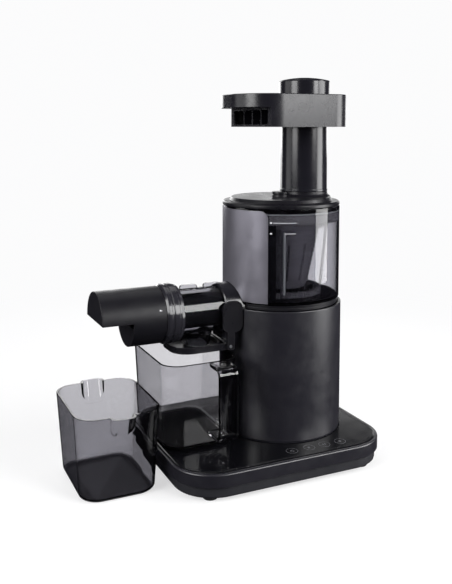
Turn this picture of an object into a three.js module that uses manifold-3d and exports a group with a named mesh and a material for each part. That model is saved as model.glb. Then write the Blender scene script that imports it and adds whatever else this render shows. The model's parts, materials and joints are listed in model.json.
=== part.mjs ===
// A vertical slow juicer: motor base, screw bowl with a sideways outlet, feed hopper, juice jug and pulp bin.
// Millimetres, +Z up. Sizes are taken from the motor housing's axis (x = y = 0) and the table (z = 0);
// -Y is the side with the touch keys and -X the side where juice and pulp come out.
import * as THREE from "three";
import { mergeVertices } from "three/addons/utils/BufferGeometryUtils.js";
import Module from "manifold-3d";

const wasm = await Module();
wasm.setup();

// ---- driving sizes -------------------------------------------------------------------------------------
const GAP = 0.3; // between pieces that touch
const PLAY = 0.5; // between pieces that slide or turn on each other
const FACETS = 36; // round a large circle
const MEDIUM_FACETS = 24; // round a tube, a boss or a pulley-sized circle
const FINE_FACETS = 14; // round a small circle
const CUT = 1; // how far a cutter runs past the face that it opens
const WALL = 2.5; // moulded walls

const BASE = { length: 245, width: 209, corner: 47, right: 87, wall: 3, screwInsetX: 46, screwInsetY: 14 };
const SKIRT = { bottom: 4.5, top: 16.3, inset: 3.1 };
const BAND_TOP = 30.2;
const DECK = { top: 30.7, thickness: 2.5, inset: 3.5, opening: 50 };
const FOOT = { radius: 8, insetX: 32, insetY: 19.5 };
const VENT = { count: 6, pitch: 9, width: 3, length: 46 };
const SCREW = { radius: 1.5, headRadius: 2.8, head: 1.8, boss: 4 };
const GLAND = { radius: 4.6, bore: 3.2, x: 50, length: 6.5 };
const TOUCH_BOARD = { length: 70, width: 16, thickness: 1.6, y: -84 };
const POWER_BOARD = { length: 62, width: 84, thickness: 1.6, standoff: 3 };

const HOUSING = { radius: 69.3, wall: 3, top: 175, ledge: 4 };
const JOINT_RING = { inset: 0.7, height: 6.4 };
const DRIVE_DECK = { depth: 35, thickness: 3 };
const SHAFT = { radius: 6, reach: 26, seal: 5 };
const MOTOR = { radius: 29, wall: 2, shaft: 2.5, bottom: 37, rotor: 21, cap: 3 };
const GEARBOX = { bottom: 97, plate: 3, height: 27, bearing: 5, collar: 10 };
const STAGE_ONE = { pinion: 10, gear: 40, module: 1.1, thickness: 6 };
const STAGE_TWO = { pinion: 10, gear: 40, module: 1.3, thickness: 7 };
const MOTOR_TURN = Math.PI / 4; // how far the motor is swung round the intermediate axle

const BOWL = { inset: 1.5, height: 103.6, wall: 2.5, wellInset: 11.3, hub: 10.3, floor: 3 };
const WINDOW = { from: -130, to: 46 }; // degrees round the axis, from +X
const COVER = { thickness: 1.5, topInset: 2, bottomLip: 1 };
const STRAINER = {
  bottomRadius: 29.5, topInset: 19.3, wall: 1.8,
  slots: 12, slotWidth: 2.4, flangeDrop: 17,
};
const WIPER = {
  sun: 16, idler: 13, ring: 42, module: 2, thickness: 6,
  drop: 19, ringHeight: 4, topInset: 11.3, barAngle: -25,
};
const AUGER = {
  hub: 9.6, core: 14, tipCore: 9, flight: 25, tipFlight: 21,
  pitch: 26, blade: 3, drop: 9, pin: 3.5,
};

const LID = {
  inset: 1.1, rim: 4.7, crown: 4, crownInset: 10,
  boss: 10.3, bossHeight: 9.3, skirt: 5, seal: 1.5,
};
const CHUTE = { x: 30, bore: 24, wall: 3.4, topWall: 2.3, flare: 3.4, height: 9.5 };
const TRAY = {
  left: -67, right: 63.5, halfWidth: 53, leftCorner: 45,
  rightCorner: 25, rise: 108.9, depth: 15,
};
const TRAY_BOX = { left: -39.5, depth: 20.7, halfOpening: 42, ribs: 3, rib: 2, ribLength: 12 };
const PUSHER = { overhang: 5, rise: 16.7, crown: 3.6, bottom: 30.2, play: 0.6 };

const SNOUT = {
  clearance: 3.8, tube: 24.9, tubeWall: 2, neckWall: 3.1,
  ringWall: 7.5, nozzleStep: 5.8, drumGap: 5.9,
};
// How far the outlet reaches: the neck from the housing, the other pieces from the base's left edge.
const REACH = { neck: 6.7, ring: 28, ringLength: 20, nozzleEnd: 28.6, hoodEnd: 62 };
const FIN = { height: 4.5, width: 3, length: 20 };
const SPOUT = { length: 21, width: 22, wall: 2, rise: 13, outlet: 13, lip: 10.9, taper: 5, start: 9 };
const FLAP = { thickness: 2, rim: 7, corner: 20, margin: 3, reach: 13, play: 0.9, arm: 3, pin: 2, boss: 4.2 };
const PADDLE = { width: 23, height: 34, thickness: 4, drop: 3.8, corner: 8 };

const JUG = { headroom: 7, front: -42, back: 78, draft: 4, corner: 20, wall: 2.2, clearance: 1.3, edge: 1 };
const HANDLE = { x: -97, width: 21, reach: 27, rise: 14, thickness: 4.5, corner: 10 };
const BIN = {
  length: 90, width: 120, height: 88, draft: 5, corner: 22,
  wall: 2.2, gap: 5, lip: 13, lipDrop: 24,
};

// ---- sizes worked out from them ------------------------------------------------------------------------
const BASE_LEFT = BASE.right - BASE.length;
const BASE_FRONT = -BASE.width / 2;
const HOUSING_BOTTOM = DECK.top - DECK.thickness;
const PLATE_TOP = HOUSING_BOTTOM - GAP;
const PLATE_BOTTOM = PLATE_TOP - BASE.wall;
const PAN_FLOOR = SKIRT.bottom + WALL;
const GLAND_Z = SKIRT.top + GLAND.radius + GAP;
const GLAND_OUTSIDE = -BASE_FRONT - PLAY;
const HOUSING_INNER = HOUSING.radius - HOUSING.wall;
const BOWL_BOTTOM = HOUSING.top + JOINT_RING.height;
const BOWL_TOP = BOWL_BOTTOM + BOWL.height;
const BOWL_RADIUS = HOUSING.radius - BOWL.inset;
const BOWL_INNER = BOWL_RADIUS - BOWL.wall;
const BOWL_FLOOR = BOWL_BOTTOM + BOWL.floor;
const WELL_RADIUS = HOUSING.radius - BOWL.wellInset;
const DRIVE_DECK_TOP = HOUSING.top - DRIVE_DECK.depth;
const WELL_BOTTOM = DRIVE_DECK_TOP + GAP;
const SHAFT_TIP = DRIVE_DECK_TOP + SHAFT.reach;
const GEAR_PLANE = BOWL_FLOOR + PLAY;
const STRAINER_BOTTOM = GEAR_PLANE + WIPER.thickness + 2 * PLAY;
const LID_RADIUS = BOWL_RADIUS - LID.inset;
const LID_BOTTOM = BOWL_TOP + GAP;
const LID_RIM = LID_BOTTOM + LID.rim;
const LID_SEAL_TOP = LID_BOTTOM - LID.skirt - GAP;
const STRAINER_FLANGE = BOWL_TOP - STRAINER.flangeDrop;
const STRAINER_RIM = LID_BOTTOM - LID.skirt - LID.seal - 3 * GAP;
const WIPER_TOP = BOWL_TOP - WIPER.drop;
const AUGER_TOP = BOWL_TOP - AUGER.drop;
const CHUTE_RADIUS = CHUTE.bore + CHUTE.wall;
const BOSS_TOP = LID_RIM + LID.bossHeight;
const CHUTE_SEAT = LID_RIM + CHUTE.height;
const TUBE_BOTTOM = CHUTE_SEAT + GAP;
const TRAY_RIM = TUBE_BOTTOM + TRAY.rise;
const TRAY_FLOOR = TRAY_RIM - TRAY.depth;
const PUSHER_EDGE = TRAY_RIM + PUSHER.rise;
const PUSHER_CAP = CHUTE.bore + PUSHER.overhang;
const PUSHER_BOTTOM = TUBE_BOTTOM + PUSHER.bottom;
const BOX_BOTTOM = TRAY_FLOOR - TRAY_BOX.depth;
const NECK_RADIUS = SNOUT.tube + SNOUT.neckWall;
const RING_RADIUS = SNOUT.tube + SNOUT.ringWall;
const SNOUT_Z = DRIVE_DECK_TOP + NECK_RADIUS + SNOUT.clearance;
const NOZZLE_RADIUS = SNOUT.tube + SNOUT.nozzleStep;
const DRUM_RADIUS = SNOUT.tube - SNOUT.drumGap;
const NECK_END = -HOUSING.radius - REACH.neck;
const SPOUT_X = NECK_END - SPOUT.start - SPOUT.length;
// The ring hangs over the base's left edge, or just past the spout where that reaches further out.
const RING_START = Math.min(BASE_LEFT + REACH.ring, SPOUT_X - SPOUT.length - FLAP.margin);
const RING_END = RING_START - REACH.ringLength;
const NOZZLE_END = BASE_LEFT - REACH.nozzleEnd;
const HOOD_END = BASE_LEFT - REACH.hoodEnd;
const SPOUT_TOP = SNOUT_Z - SNOUT.tube + SPOUT.rise;
const SPOUT_BOTTOM = SNOUT_Z - SNOUT.tube - SPOUT.lip;
const FLAP_BOTTOM = SNOUT_Z - RING_RADIUS - FLAP.play - FLAP.rim;
const FLAP_FAR = SPOUT_X - SPOUT.length - FLAP.reach;
const FLAP_NEAR = SPOUT_X + SPOUT.length + FLAP.margin;
const FLAP_HALF_WIDTH = SPOUT.width + 2 * FLAP.margin + PLAY;
// The paddle hangs just clear of the housing's curve beside the neck.
const HOUSING_BESIDE_NECK = Math.sqrt(HOUSING.radius ** 2 - (NECK_RADIUS + PLAY) ** 2);
const PADDLE_X = -HOUSING_BESIDE_NECK - PADDLE.width / 2 - PLAY;
const PADDLE_Z = SNOUT_Z - PADDLE.drop;
const PIVOT = { x: FLAP_NEAR + FLAP.boss + PLAY, z: FLAP_BOTTOM + FLAP.boss - PLAY };
const JUG_TOP = FLAP_BOTTOM - JUG.headroom;
const HANDLE_BOTTOM = DECK.top + HANDLE.rise;
const JUG_RIGHT = -HOUSING.radius - JUG.clearance;
const JUG_LEFT = BASE_LEFT + JUG.edge;
const BIN_RIGHT = BASE_LEFT - BIN.gap;
const BIN_LEFT = BIN_RIGHT - BIN.length;

// ---- finishes ------------------------------------------------------------------------------------------
const finish = (color, roughness, metalness = 0, opacity = 1) =>
  new THREE.MeshStandardMaterial({ color, roughness, metalness, opacity, transparent: opacity < 1 });
const SATIN = finish(0x3b3942, 0.42, 0.35);
const COVER_SATIN = finish(0x4a4850, 0.4, 0.35);
const GLOSS_BLACK = finish(0x0c0c0f, 0.12);
const DARK_PLASTIC = finish(0x1a1a1d, 0.55);
const SMOKE = finish(0x33333a, 0.08, 0, 0.4);
const CLEAR = finish(0xcfd2d8, 0.06, 0, 0.3);
const RUBBER = finish(0x1c1c1e, 0.85);
const SILICONE = finish(0x8d9096, 0.6);
const GREY_PLASTIC = finish(0x55565c, 0.4);
const STEEL = finish(0xb9bcc0, 0.3, 1);
const BRASS = finish(0xb9964a, 0.35, 1);
const BOARD = finish(0x1d4a2c, 0.5);

// ---- shapes --------------------------------------------------------------------------------------------
/** A closed geometry as a solid that can be cut and joined. */
function solid(geometry) {
  const loose = geometry.index ? geometry.toNonIndexed() : geometry;
  const bare = new THREE.BufferGeometry().setAttribute("position", loose.getAttribute("position"));
  const merged = mergeVertices(bare, 1e-4);
  const corners = merged.index.array;
  const triangles = [];
  for (let i = 0; i < corners.length; i += 3) {
    const [a, b, c] = corners.slice(i, i + 3);
    if (a !== b && b !== c && c !== a) triangles.push(a, b, c);
  }
  return new wasm.Manifold(
    new wasm.Mesh({
      numProp: 3,
      vertProperties: merged.attributes.position.array,
      triVerts: new Uint32Array(triangles),
    }),
  );
}

/** The solid's triangles as a three.js geometry. */
function geometryOf(shape) {
  const mesh = shape.getMesh();
  const geometry = new THREE.BufferGeometry()
    .setAttribute("position", new THREE.BufferAttribute(new Float32Array(mesh.vertProperties), 3))
    .setIndex(new THREE.BufferAttribute(new Uint32Array(mesh.triVerts), 1))
    .toNonIndexed();
  geometry.computeVertexNormals();
  return geometry;
}

const join = (...solids) => solids.reduce((all, next) => all.add(next));
const cut = (body, ...cutters) => cutters.reduce((left, next) => left.subtract(next), body);

/** A profile of [radius, z] points turned round the Z axis through x, y; the profile closes on itself. */
function turned(profile, { x = 0, y = 0, facets = FACETS } = {}) {
  const points = profile.map(([radius, z]) => new THREE.Vector2(radius, z));
  if (THREE.ShapeUtils.area(points) < 0) points.reverse();
  const geometry = new THREE.LatheGeometry([...points, points[0]], facets);
  return solid(geometry.rotateX(Math.PI / 2).translate(x, y, 0));
}

const disc = (radius, bottom, top, place) =>
  turned([[0, bottom], [radius, bottom], [radius, top], [0, top]], place);
const ring = (inner, outer, bottom, top, place) =>
  turned([[inner, bottom], [outer, bottom], [outer, top], [inner, top]], place);

/** A profile of [radius, x] points turned round a line along X at y = 0 and height z. */
function turnedAlongX(profile, z, facets = FACETS) {
  const points = profile.map(([radius, x]) => new THREE.Vector2(radius, x));
  if (THREE.ShapeUtils.area(points) < 0) points.reverse();
  const geometry = new THREE.LatheGeometry([...points, points[0]], facets);
  return solid(geometry.rotateZ(-Math.PI / 2).translate(0, 0, z));
}

const rodAlongX = (radius, from, to, z, facets) =>
  turnedAlongX([[0, from], [radius, from], [radius, to], [0, to]], z, facets);
const pipeAlongX = (inner, outer, from, to, z, facets) =>
  turnedAlongX([[inner, from], [outer, from], [outer, to], [inner, to]], z, facets);

/** A round bar along Y, centred on the given x and z. */
function rodAlongY(radius, from, to, x, z, facets = FINE_FACETS) {
  const geometry = new THREE.CylinderGeometry(radius, radius, to - from, facets);
  return solid(geometry.translate(x, (from + to) / 2, z));
}

function box(x0, x1, y0, y1, z0, z1) {
  const geometry = new THREE.BoxGeometry(x1 - x0, y1 - y0, z1 - z0);
  return solid(geometry.translate((x0 + x1) / 2, (y0 + y1) / 2, (z0 + z1) / 2));
}

/** The points of a rectangle with rounded corners: radii at right-back, left-back, left-front, right-front. */
function roundedOutline(x0, x1, y0, y1, radii, steps = 5) {
  const [rb, lb, lf, rf] = Array.isArray(radii) ? radii : [radii, radii, radii, radii];
  const corners = [
    [x1 - rb, y1 - rb, rb],
    [x0 + lb, y1 - lb, lb],
    [x0 + lf, y0 + lf, lf],
    [x1 - rf, y0 + rf, rf],
  ];
  const points = [];
  corners.forEach(([cx, cy, radius], quarter) => {
    for (let i = 0; i <= steps; i += 1) {
      const angle = (quarter + i / steps) * (Math.PI / 2);
      points.push(new THREE.Vector2(cx + radius * Math.cos(angle), cy + radius * Math.sin(angle)));
    }
  });
  return points;
}

/** An outline raised from one height to another. */
function plate(outline, bottom, top) {
  const geometry = new THREE.ExtrudeGeometry(new THREE.Shape(outline), {
    depth: top - bottom,
    bevelEnabled: false,
  });
  return solid(geometry.translate(0, 0, bottom));
}

/** A flat piece whose outline of [x, z] points lies across Y, between two values of y. */
function upright(outline, y0, y1) {
  const geometry = new THREE.ExtrudeGeometry(new THREE.Shape(outline), { depth: y1 - y0, bevelEnabled: false });
  return solid(geometry.rotateX(Math.PI / 2).translate(0, y1, 0));
}

/** A solid through rings of points, lowest first, all with the same number of points, turned by some degrees. */
function loft(rings, turn = 0) {
  const positions = [];
  const face = (...points) => points.forEach((p) => positions.push(p.x, p.y, p.z));
  for (let level = 1; level < rings.length; level += 1) {
    const below = rings[level - 1];
    const above = rings[level];
    below.forEach((point, i) => {
      const next = (i + 1) % below.length;
      face(point, below[next], above[next]);
      face(point, above[next], above[i]);
    });
  }
  const caps = [
    [rings[0], false],
    [rings[rings.length - 1], true],
  ];
  for (const [points, up] of caps) {
    const flat = points.map((p) => new THREE.Vector2(p.x, p.y));
    for (const [a, b, c] of THREE.ShapeUtils.triangulateShape(flat, [])) {
      if (up) face(points[a], points[b], points[c]);
      else face(points[a], points[c], points[b]);
    }
  }
  const geometry = new THREE.BufferGeometry();
  geometry.setAttribute("position", new THREE.Float32BufferAttribute(positions, 3));
  return solid(geometry.rotateZ(THREE.MathUtils.degToRad(turn)));
}

const raised = (outline, z) => outline.map((p) => new THREE.Vector3(p.x, p.y, z));

/** A wedge of a ring between two angles in degrees. */
function sector(inner, outer, bottom, top, from, to, steps = 20) {
  const outline = [];
  const point = (radius, degrees) => {
    const angle = THREE.MathUtils.degToRad(degrees);
    outline.push(new THREE.Vector2(radius * Math.cos(angle), radius * Math.sin(angle)));
  };
  for (let i = 0; i <= steps; i += 1) point(outer, from + ((to - from) * i) / steps);
  for (let i = steps; i >= 0; i -= 1) point(inner, from + ((to - from) * i) / steps);
  return plate(outline, bottom, top);
}

// ---- gears ---------------------------------------------------------------------------------------------
const PRESSURE_ANGLE = THREE.MathUtils.degToRad(20);
// Thickness is a share of the ideal tooth; the other two are shares of the module.
const TOOTH = { thickness: 0.84, addendum: 0.85, dedendum: 1.25 };
const TOOTH_SPACE = { thickness: 1.16, addendum: 1.25, dedendum: 0.85 };

const pitchRadius = (teeth, module) => (teeth * module) / 2;

/** A toothed outline with one tooth centred on the phase angle. */
function toothed(teeth, module, phase, tooth = TOOTH) {
  const pitch = pitchRadius(teeth, module);
  const base = pitch * Math.cos(PRESSURE_ANGLE);
  const involute = (angle) => Math.tan(angle) - angle;
  const halfTooth = (radius) => {
    const angle = Math.acos(base / Math.max(radius, base));
    return (tooth.thickness * Math.PI) / (2 * teeth) + involute(PRESSURE_ANGLE) - involute(angle);
  };
  const radii = [pitch - tooth.dedendum * module, pitch, pitch + tooth.addendum * module];
  const flank = [...radii.map((radius) => [radius, -1]), ...radii.reverse().map((radius) => [radius, 1])];
  const points = [];
  for (let i = 0; i < teeth; i += 1) {
    for (const [radius, side] of flank) {
      const angle = phase + (i * 2 * Math.PI) / teeth + side * halfTooth(radius);
      points.push(new THREE.Vector2(radius * Math.cos(angle), radius * Math.sin(angle)));
    }
  }
  return points;
}

const moved = (outline, x, y) => outline.map((p) => new THREE.Vector2(p.x + x, p.y + y));
/** The phase that puts a tooth space where a tooth of the driving gear, which points along the angle, arrives. */
const meshedPhase = (angle, teeth) => angle + Math.PI + Math.PI / teeth;

const CENTRES_TWO = pitchRadius(STAGE_TWO.pinion + STAGE_TWO.gear, STAGE_TWO.module);
const CENTRES_ONE = pitchRadius(STAGE_ONE.pinion + STAGE_ONE.gear, STAGE_ONE.module);
const AXLE = { x: 0, y: CENTRES_TWO, radius: 2.5 };
const MOTOR_AXIS = {
  x: CENTRES_ONE * Math.sin(MOTOR_TURN),
  y: AXLE.y - CENTRES_ONE * Math.cos(MOTOR_TURN),
};
const GEARBOX_INNER = AXLE.y + pitchRadius(STAGE_ONE.gear, STAGE_ONE.module) + STAGE_ONE.module + PLAY;
const GEARBOX_TOP = GEARBOX.bottom + GEARBOX.height;
const STAGE_ONE_Z = GEARBOX.bottom + GEARBOX.plate + 3;
const STAGE_TWO_Z = STAGE_ONE_Z + STAGE_ONE.thickness + 2;
const IDLER_X = pitchRadius(WIPER.sun + WIPER.idler, WIPER.module);

// ---- the assembly --------------------------------------------------------------------------------------
const juicer = new THREE.Group();
const assembly = new THREE.Group();
assembly.position.x = -(BASE.right + BIN_LEFT) / 2;
juicer.add(assembly);

function add(name, shape, material) {
  const mesh = new THREE.Mesh(geometryOf(shape), material);
  mesh.name = name;
  assembly.add(mesh);
}

// ---- base ----------------------------------------------------------------------------------------------
const baseOutline = (inset) =>
  roundedOutline(
    BASE_LEFT + inset,
    BASE.right - inset,
    BASE_FRONT + inset,
    -BASE_FRONT - inset,
    BASE.corner - inset,
  );

/** Runs a function for each of the four places that lie the same distance in from the base's edges. */
function atCorners(insetX, insetY, make) {
  const places = [
    [BASE_LEFT + insetX, BASE_FRONT + insetY],
    [BASE.right - insetX, BASE_FRONT + insetY],
    [BASE.right - insetX, -BASE_FRONT - insetY],
    [BASE_LEFT + insetX, -BASE_FRONT - insetY],
  ];
  return places.map(([x, y], i) => make(x, y, i + 1));
}

const screwAt = (radius, bottom, top) =>
  atCorners(BASE.screwInsetX, BASE.screwInsetY, (x, y) =>
    disc(radius, bottom, top, { x, y, facets: FINE_FACETS }),
  );

function basePan() {
  const tub = cut(
    plate(baseOutline(SKIRT.inset), SKIRT.bottom, SKIRT.top - GAP),
    plate(baseOutline(SKIRT.inset + WALL), PAN_FLOOR, SKIRT.top + CUT),
  );
  const vents = Array.from({ length: VENT.count }, (_, i) => {
    const x = (i - (VENT.count - 1) / 2) * VENT.pitch;
    const half = { x: VENT.width / 2, y: VENT.length / 2 };
    return box(x - half.x, x + half.x, -half.y, half.y, SKIRT.bottom - CUT, PAN_FLOOR + CUT);
  });
  return cut(tub, ...vents, ...screwAt(SCREW.radius + GAP, SKIRT.bottom - CUT, PAN_FLOOR + CUT));
}

function baseShell() {
  const body = cut(
    plate(baseOutline(0), SKIRT.top, BAND_TOP),
    plate(baseOutline(BASE.wall), SKIRT.top - CUT, PLATE_BOTTOM),
    plate(baseOutline(DECK.inset), PLATE_TOP, BAND_TOP + CUT),
    disc(DECK.opening, PLATE_BOTTOM - CUT, PLATE_TOP + CUT),
  );
  const bossed = join(body, ...screwAt(SCREW.boss, PAN_FLOOR + GAP, PLATE_BOTTOM + GAP));
  const glandHole = rodAlongY(
    GLAND.radius + GAP,
    GLAND_OUTSIDE - GLAND.length - GAP,
    -BASE_FRONT + CUT,
    GLAND.x,
    GLAND_Z,
  );
  return cut(bossed, glandHole, ...screwAt(SCREW.radius + GAP, PAN_FLOOR - CUT, PLATE_BOTTOM - CUT));
}

function cordGland() {
  const inside = GLAND_OUTSIDE - GLAND.length;
  const sleeve = rodAlongY(GLAND.radius, inside, GLAND_OUTSIDE, GLAND.x, GLAND_Z);
  return cut(sleeve, rodAlongY(GLAND.bore, inside - CUT, GLAND_OUTSIDE + CUT, GLAND.x, GLAND_Z));
}

function deckPanel() {
  return cut(
    plate(baseOutline(DECK.inset + GAP), HOUSING_BOTTOM, DECK.top),
    disc(HOUSING.radius + GAP, HOUSING_BOTTOM - CUT, DECK.top + CUT),
  );
}

function powerBoard() {
  const bottom = PAN_FLOOR + POWER_BOARD.standoff;
  const top = bottom + POWER_BOARD.thickness;
  const left = BASE_LEFT + BASE.corner / 2;
  const right = left + POWER_BOARD.length;
  const half = POWER_BOARD.width / 2;
  const board = box(left, right, -half, half, bottom, top);
  const parts = [
    disc(6, top - GAP, PLATE_BOTTOM - PLAY, { x: left + 14, y: 22, facets: FINE_FACETS }),
    disc(6, top - GAP, PLATE_BOTTOM - PLAY, { x: left + 14, y: 6, facets: FINE_FACETS }),
    box(left + 28, left + 50, -34, -10, top - GAP, PLATE_BOTTOM - PLAY),
  ];
  const posts = [-1, 1].map((side) =>
    disc(3, PAN_FLOOR + GAP, bottom + GAP, { x: left + 8, y: side * (half - 8), facets: FINE_FACETS }),
  );
  return join(board, ...parts, ...posts);
}

add("base_pan", basePan(), DARK_PLASTIC);
add("base_shell", baseShell(), SATIN);
add("deck_panel", deckPanel(), GLOSS_BLACK);
add("cord_gland", cordGland(), RUBBER);
add("power_board", powerBoard(), BOARD);
add(
  "touch_board",
  box(
    -TOUCH_BOARD.length / 2,
    TOUCH_BOARD.length / 2,
    TOUCH_BOARD.y - TOUCH_BOARD.width / 2,
    TOUCH_BOARD.y + TOUCH_BOARD.width / 2,
    PLATE_BOTTOM - GAP - TOUCH_BOARD.thickness,
    PLATE_BOTTOM - GAP,
  ),
  BOARD,
);

atCorners(FOOT.insetX, FOOT.insetY, (x, y, number) => {
  const edge = 1;
  const profile = [
    [0, 0],
    [FOOT.radius - edge, 0],
    [FOOT.radius, edge],
    [FOOT.radius, SKIRT.bottom - GAP],
    [0, SKIRT.bottom - GAP],
  ];
  add(`foot_${number}`, turned(profile, { x, y, facets: FINE_FACETS }), RUBBER);
});

atCorners(BASE.screwInsetX, BASE.screwInsetY, (x, y, number) => {
  const place = { x, y, facets: FINE_FACETS };
  const head = disc(SCREW.headRadius, SKIRT.bottom - GAP - SCREW.head, SKIRT.bottom - GAP, place);
  const shank = disc(SCREW.radius, SKIRT.bottom - SCREW.head, PLATE_BOTTOM - CUT - GAP, place);
  add(`base_screw_${number}`, join(head, shank), STEEL);
});

// ---- motor housing -------------------------------------------------------------------------------------
/** The slot in the housing's left side that the outlet neck lowers into. */
function neckSlot(clearance, top) {
  const radius = NECK_RADIUS + clearance;
  const left = -HOUSING.radius - CUT;
  const right = -HOUSING.radius / 2;
  return join(rodAlongX(radius, left, right, SNOUT_Z), box(left, right, -radius, radius, SNOUT_Z, top + CUT));
}

function motorHousing() {
  const ledgeTop = GEARBOX.bottom - GAP;
  const inner = HOUSING_INNER;
  const wall = turned([
    [HOUSING.radius, HOUSING_BOTTOM],
    [HOUSING.radius, HOUSING.top],
    [inner, HOUSING.top],
    [inner, ledgeTop],
    [inner - HOUSING.ledge, ledgeTop],
    [inner, ledgeTop - HOUSING.ledge],
    [inner, HOUSING_BOTTOM],
  ]);
  return cut(wall, neckSlot(1, HOUSING.top));
}

function jointRing() {
  const bottom = HOUSING.top + GAP;
  const top = BOWL_BOTTOM - GAP;
  return cut(ring(WELL_RADIUS + 1, HOUSING.radius - JOINT_RING.inset, bottom, top), neckSlot(1, top));
}

function driveDeck() {
  const bottom = DRIVE_DECK_TOP - DRIVE_DECK.thickness;
  const hole = SHAFT.radius + SHAFT.seal + GAP;
  return ring(hole, HOUSING_INNER - GAP, bottom, DRIVE_DECK_TOP);
}

const onMotor = { x: MOTOR_AXIS.x, y: MOTOR_AXIS.y, facets: MEDIUM_FACETS };
const smallOnMotor = { ...onMotor, facets: FINE_FACETS };
const onAxle = { x: AXLE.x, y: AXLE.y, facets: FINE_FACETS };

function motorCan() {
  const top = GEARBOX.bottom - GAP;
  const outer = MOTOR.radius;
  const inner = outer - MOTOR.wall;
  return turned(
    [
      [outer, MOTOR.bottom],
      [outer, top],
      [MOTOR.shaft + PLAY, top],
      [MOTOR.shaft + PLAY, top - MOTOR.wall],
      [inner, top - MOTOR.wall],
      [inner, MOTOR.bottom],
    ],
    onMotor,
  );
}

function gearboxBase() {
  const bottom = GEARBOX.bottom;
  const top = bottom + GEARBOX.plate;
  return cut(
    disc(HOUSING_INNER - GAP, bottom, top),
    disc(SHAFT.radius + GEARBOX.bearing + GAP, bottom - CUT, top + CUT, { facets: FINE_FACETS }),
    disc(MOTOR.shaft + PLAY, bottom - CUT, top + CUT, smallOnMotor),
    disc(AXLE.radius + GAP, bottom - CUT, top + CUT, onAxle),
  );
}

function gearboxCover() {
  const bottom = GEARBOX.bottom + GEARBOX.plate + GAP;
  const outer = GEARBOX_INNER + WALL;
  const lid = GEARBOX_TOP - GEARBOX.plate;
  const bearingRadius = SHAFT.radius + GEARBOX.bearing + GAP;
  const cup = turned([
    [GEARBOX_INNER, bottom],
    [outer, bottom],
    [outer, GEARBOX_TOP],
    [bearingRadius + WALL, GEARBOX_TOP],
    [bearingRadius + WALL, GEARBOX_TOP + GEARBOX.collar],
    [bearingRadius, GEARBOX_TOP + GEARBOX.collar],
    [bearingRadius, GEARBOX_TOP],
    [SHAFT.radius + 2, GEARBOX_TOP],
    [SHAFT.radius + 2, lid],
    [GEARBOX_INNER, lid],
  ]);
  return cut(cup, disc(AXLE.radius + GAP, lid - CUT, GEARBOX_TOP + CUT, onAxle));
}

const motorToAxle = Math.atan2(AXLE.y - MOTOR_AXIS.y, AXLE.x - MOTOR_AXIS.x);
const axleToShaft = -Math.PI / 2;

function motorPinion() {
  const outline = moved(toothed(STAGE_ONE.pinion, STAGE_ONE.module, motorToAxle), MOTOR_AXIS.x, MOTOR_AXIS.y);
  const bottom = STAGE_ONE_Z - 1;
  const top = STAGE_ONE_Z + STAGE_ONE.thickness + 1;
  return cut(plate(outline, bottom, top), disc(MOTOR.shaft + GAP, bottom - CUT, top + CUT, smallOnMotor));
}

function intermediateGear() {
  const wheel = toothed(STAGE_ONE.gear, STAGE_ONE.module, meshedPhase(motorToAxle, STAGE_ONE.gear));
  const pinion = toothed(STAGE_TWO.pinion, STAGE_TWO.module, axleToShaft);
  const wheelTop = STAGE_ONE_Z + STAGE_ONE.thickness;
  const top = STAGE_TWO_Z + STAGE_TWO.thickness + 1;
  return cut(
    join(
      plate(moved(wheel, AXLE.x, AXLE.y), STAGE_ONE_Z, wheelTop),
      plate(moved(pinion, AXLE.x, AXLE.y), wheelTop - GAP, top),
    ),
    disc(AXLE.radius + GAP, STAGE_ONE_Z - CUT, top + CUT, onAxle),
  );
}

function outputGear() {
  const outline = toothed(STAGE_TWO.gear, STAGE_TWO.module, meshedPhase(axleToShaft, STAGE_TWO.gear));
  const top = STAGE_TWO_Z + STAGE_TWO.thickness;
  const bore = disc(SHAFT.radius + GAP, STAGE_TWO_Z - CUT, top + CUT, { facets: FINE_FACETS });
  return cut(plate(outline, STAGE_TWO_Z, top), bore);
}

/** Round in the bearings, six-sided where it drives the screw. */
function driveShaft() {
  const round = disc(SHAFT.radius, GEARBOX.bottom + 1, WELL_BOTTOM, { facets: FINE_FACETS });
  return join(round, disc(SHAFT.radius, WELL_BOTTOM - CUT, SHAFT_TIP, { facets: 6 }));
}

add("motor_housing", motorHousing(), SATIN);
add("joint_ring", jointRing(), DARK_PLASTIC);
add("drive_deck", driveDeck(), DARK_PLASTIC);
add(
  "shaft_seal",
  ring(SHAFT.radius + GAP, SHAFT.radius + SHAFT.seal, DRIVE_DECK_TOP - DRIVE_DECK.thickness, DRIVE_DECK_TOP, {
    facets: FINE_FACETS,
  }),
  RUBBER,
);
add("motor_can", motorCan(), STEEL);
const capTop = MOTOR.bottom - GAP;
add("motor_end_cap", disc(MOTOR.radius, capTop - MOTOR.cap, capTop, onMotor), DARK_PLASTIC);
add(
  "motor_shaft",
  disc(MOTOR.shaft, MOTOR.bottom + 1, STAGE_ONE_Z + STAGE_ONE.thickness + 2, smallOnMotor),
  STEEL,
);
add(
  "motor_rotor",
  ring(MOTOR.shaft + GAP, MOTOR.rotor, MOTOR.bottom + 8, GEARBOX.bottom - 10, onMotor),
  GREY_PLASTIC,
);
add("motor_pinion", motorPinion(), BRASS);
add("gearbox_base", gearboxBase(), GREY_PLASTIC);
add("gearbox_cover", gearboxCover(), GREY_PLASTIC);
add("intermediate_gear", intermediateGear(), STEEL);
add("intermediate_axle", disc(AXLE.radius, GEARBOX.bottom, GEARBOX_TOP, onAxle), STEEL);
add("output_gear", outputGear(), STEEL);
add("drive_shaft", driveShaft(), STEEL);
for (const [name, bottom] of [
  ["lower_bearing", GEARBOX.bottom],
  ["upper_bearing", GEARBOX_TOP + GAP],
]) {
  const place = { facets: FINE_FACETS };
  const outer = SHAFT.radius + GEARBOX.bearing;
  add(name, ring(SHAFT.radius + GAP, outer, bottom, bottom + GEARBOX.bearing, place), STEEL);
}

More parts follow.
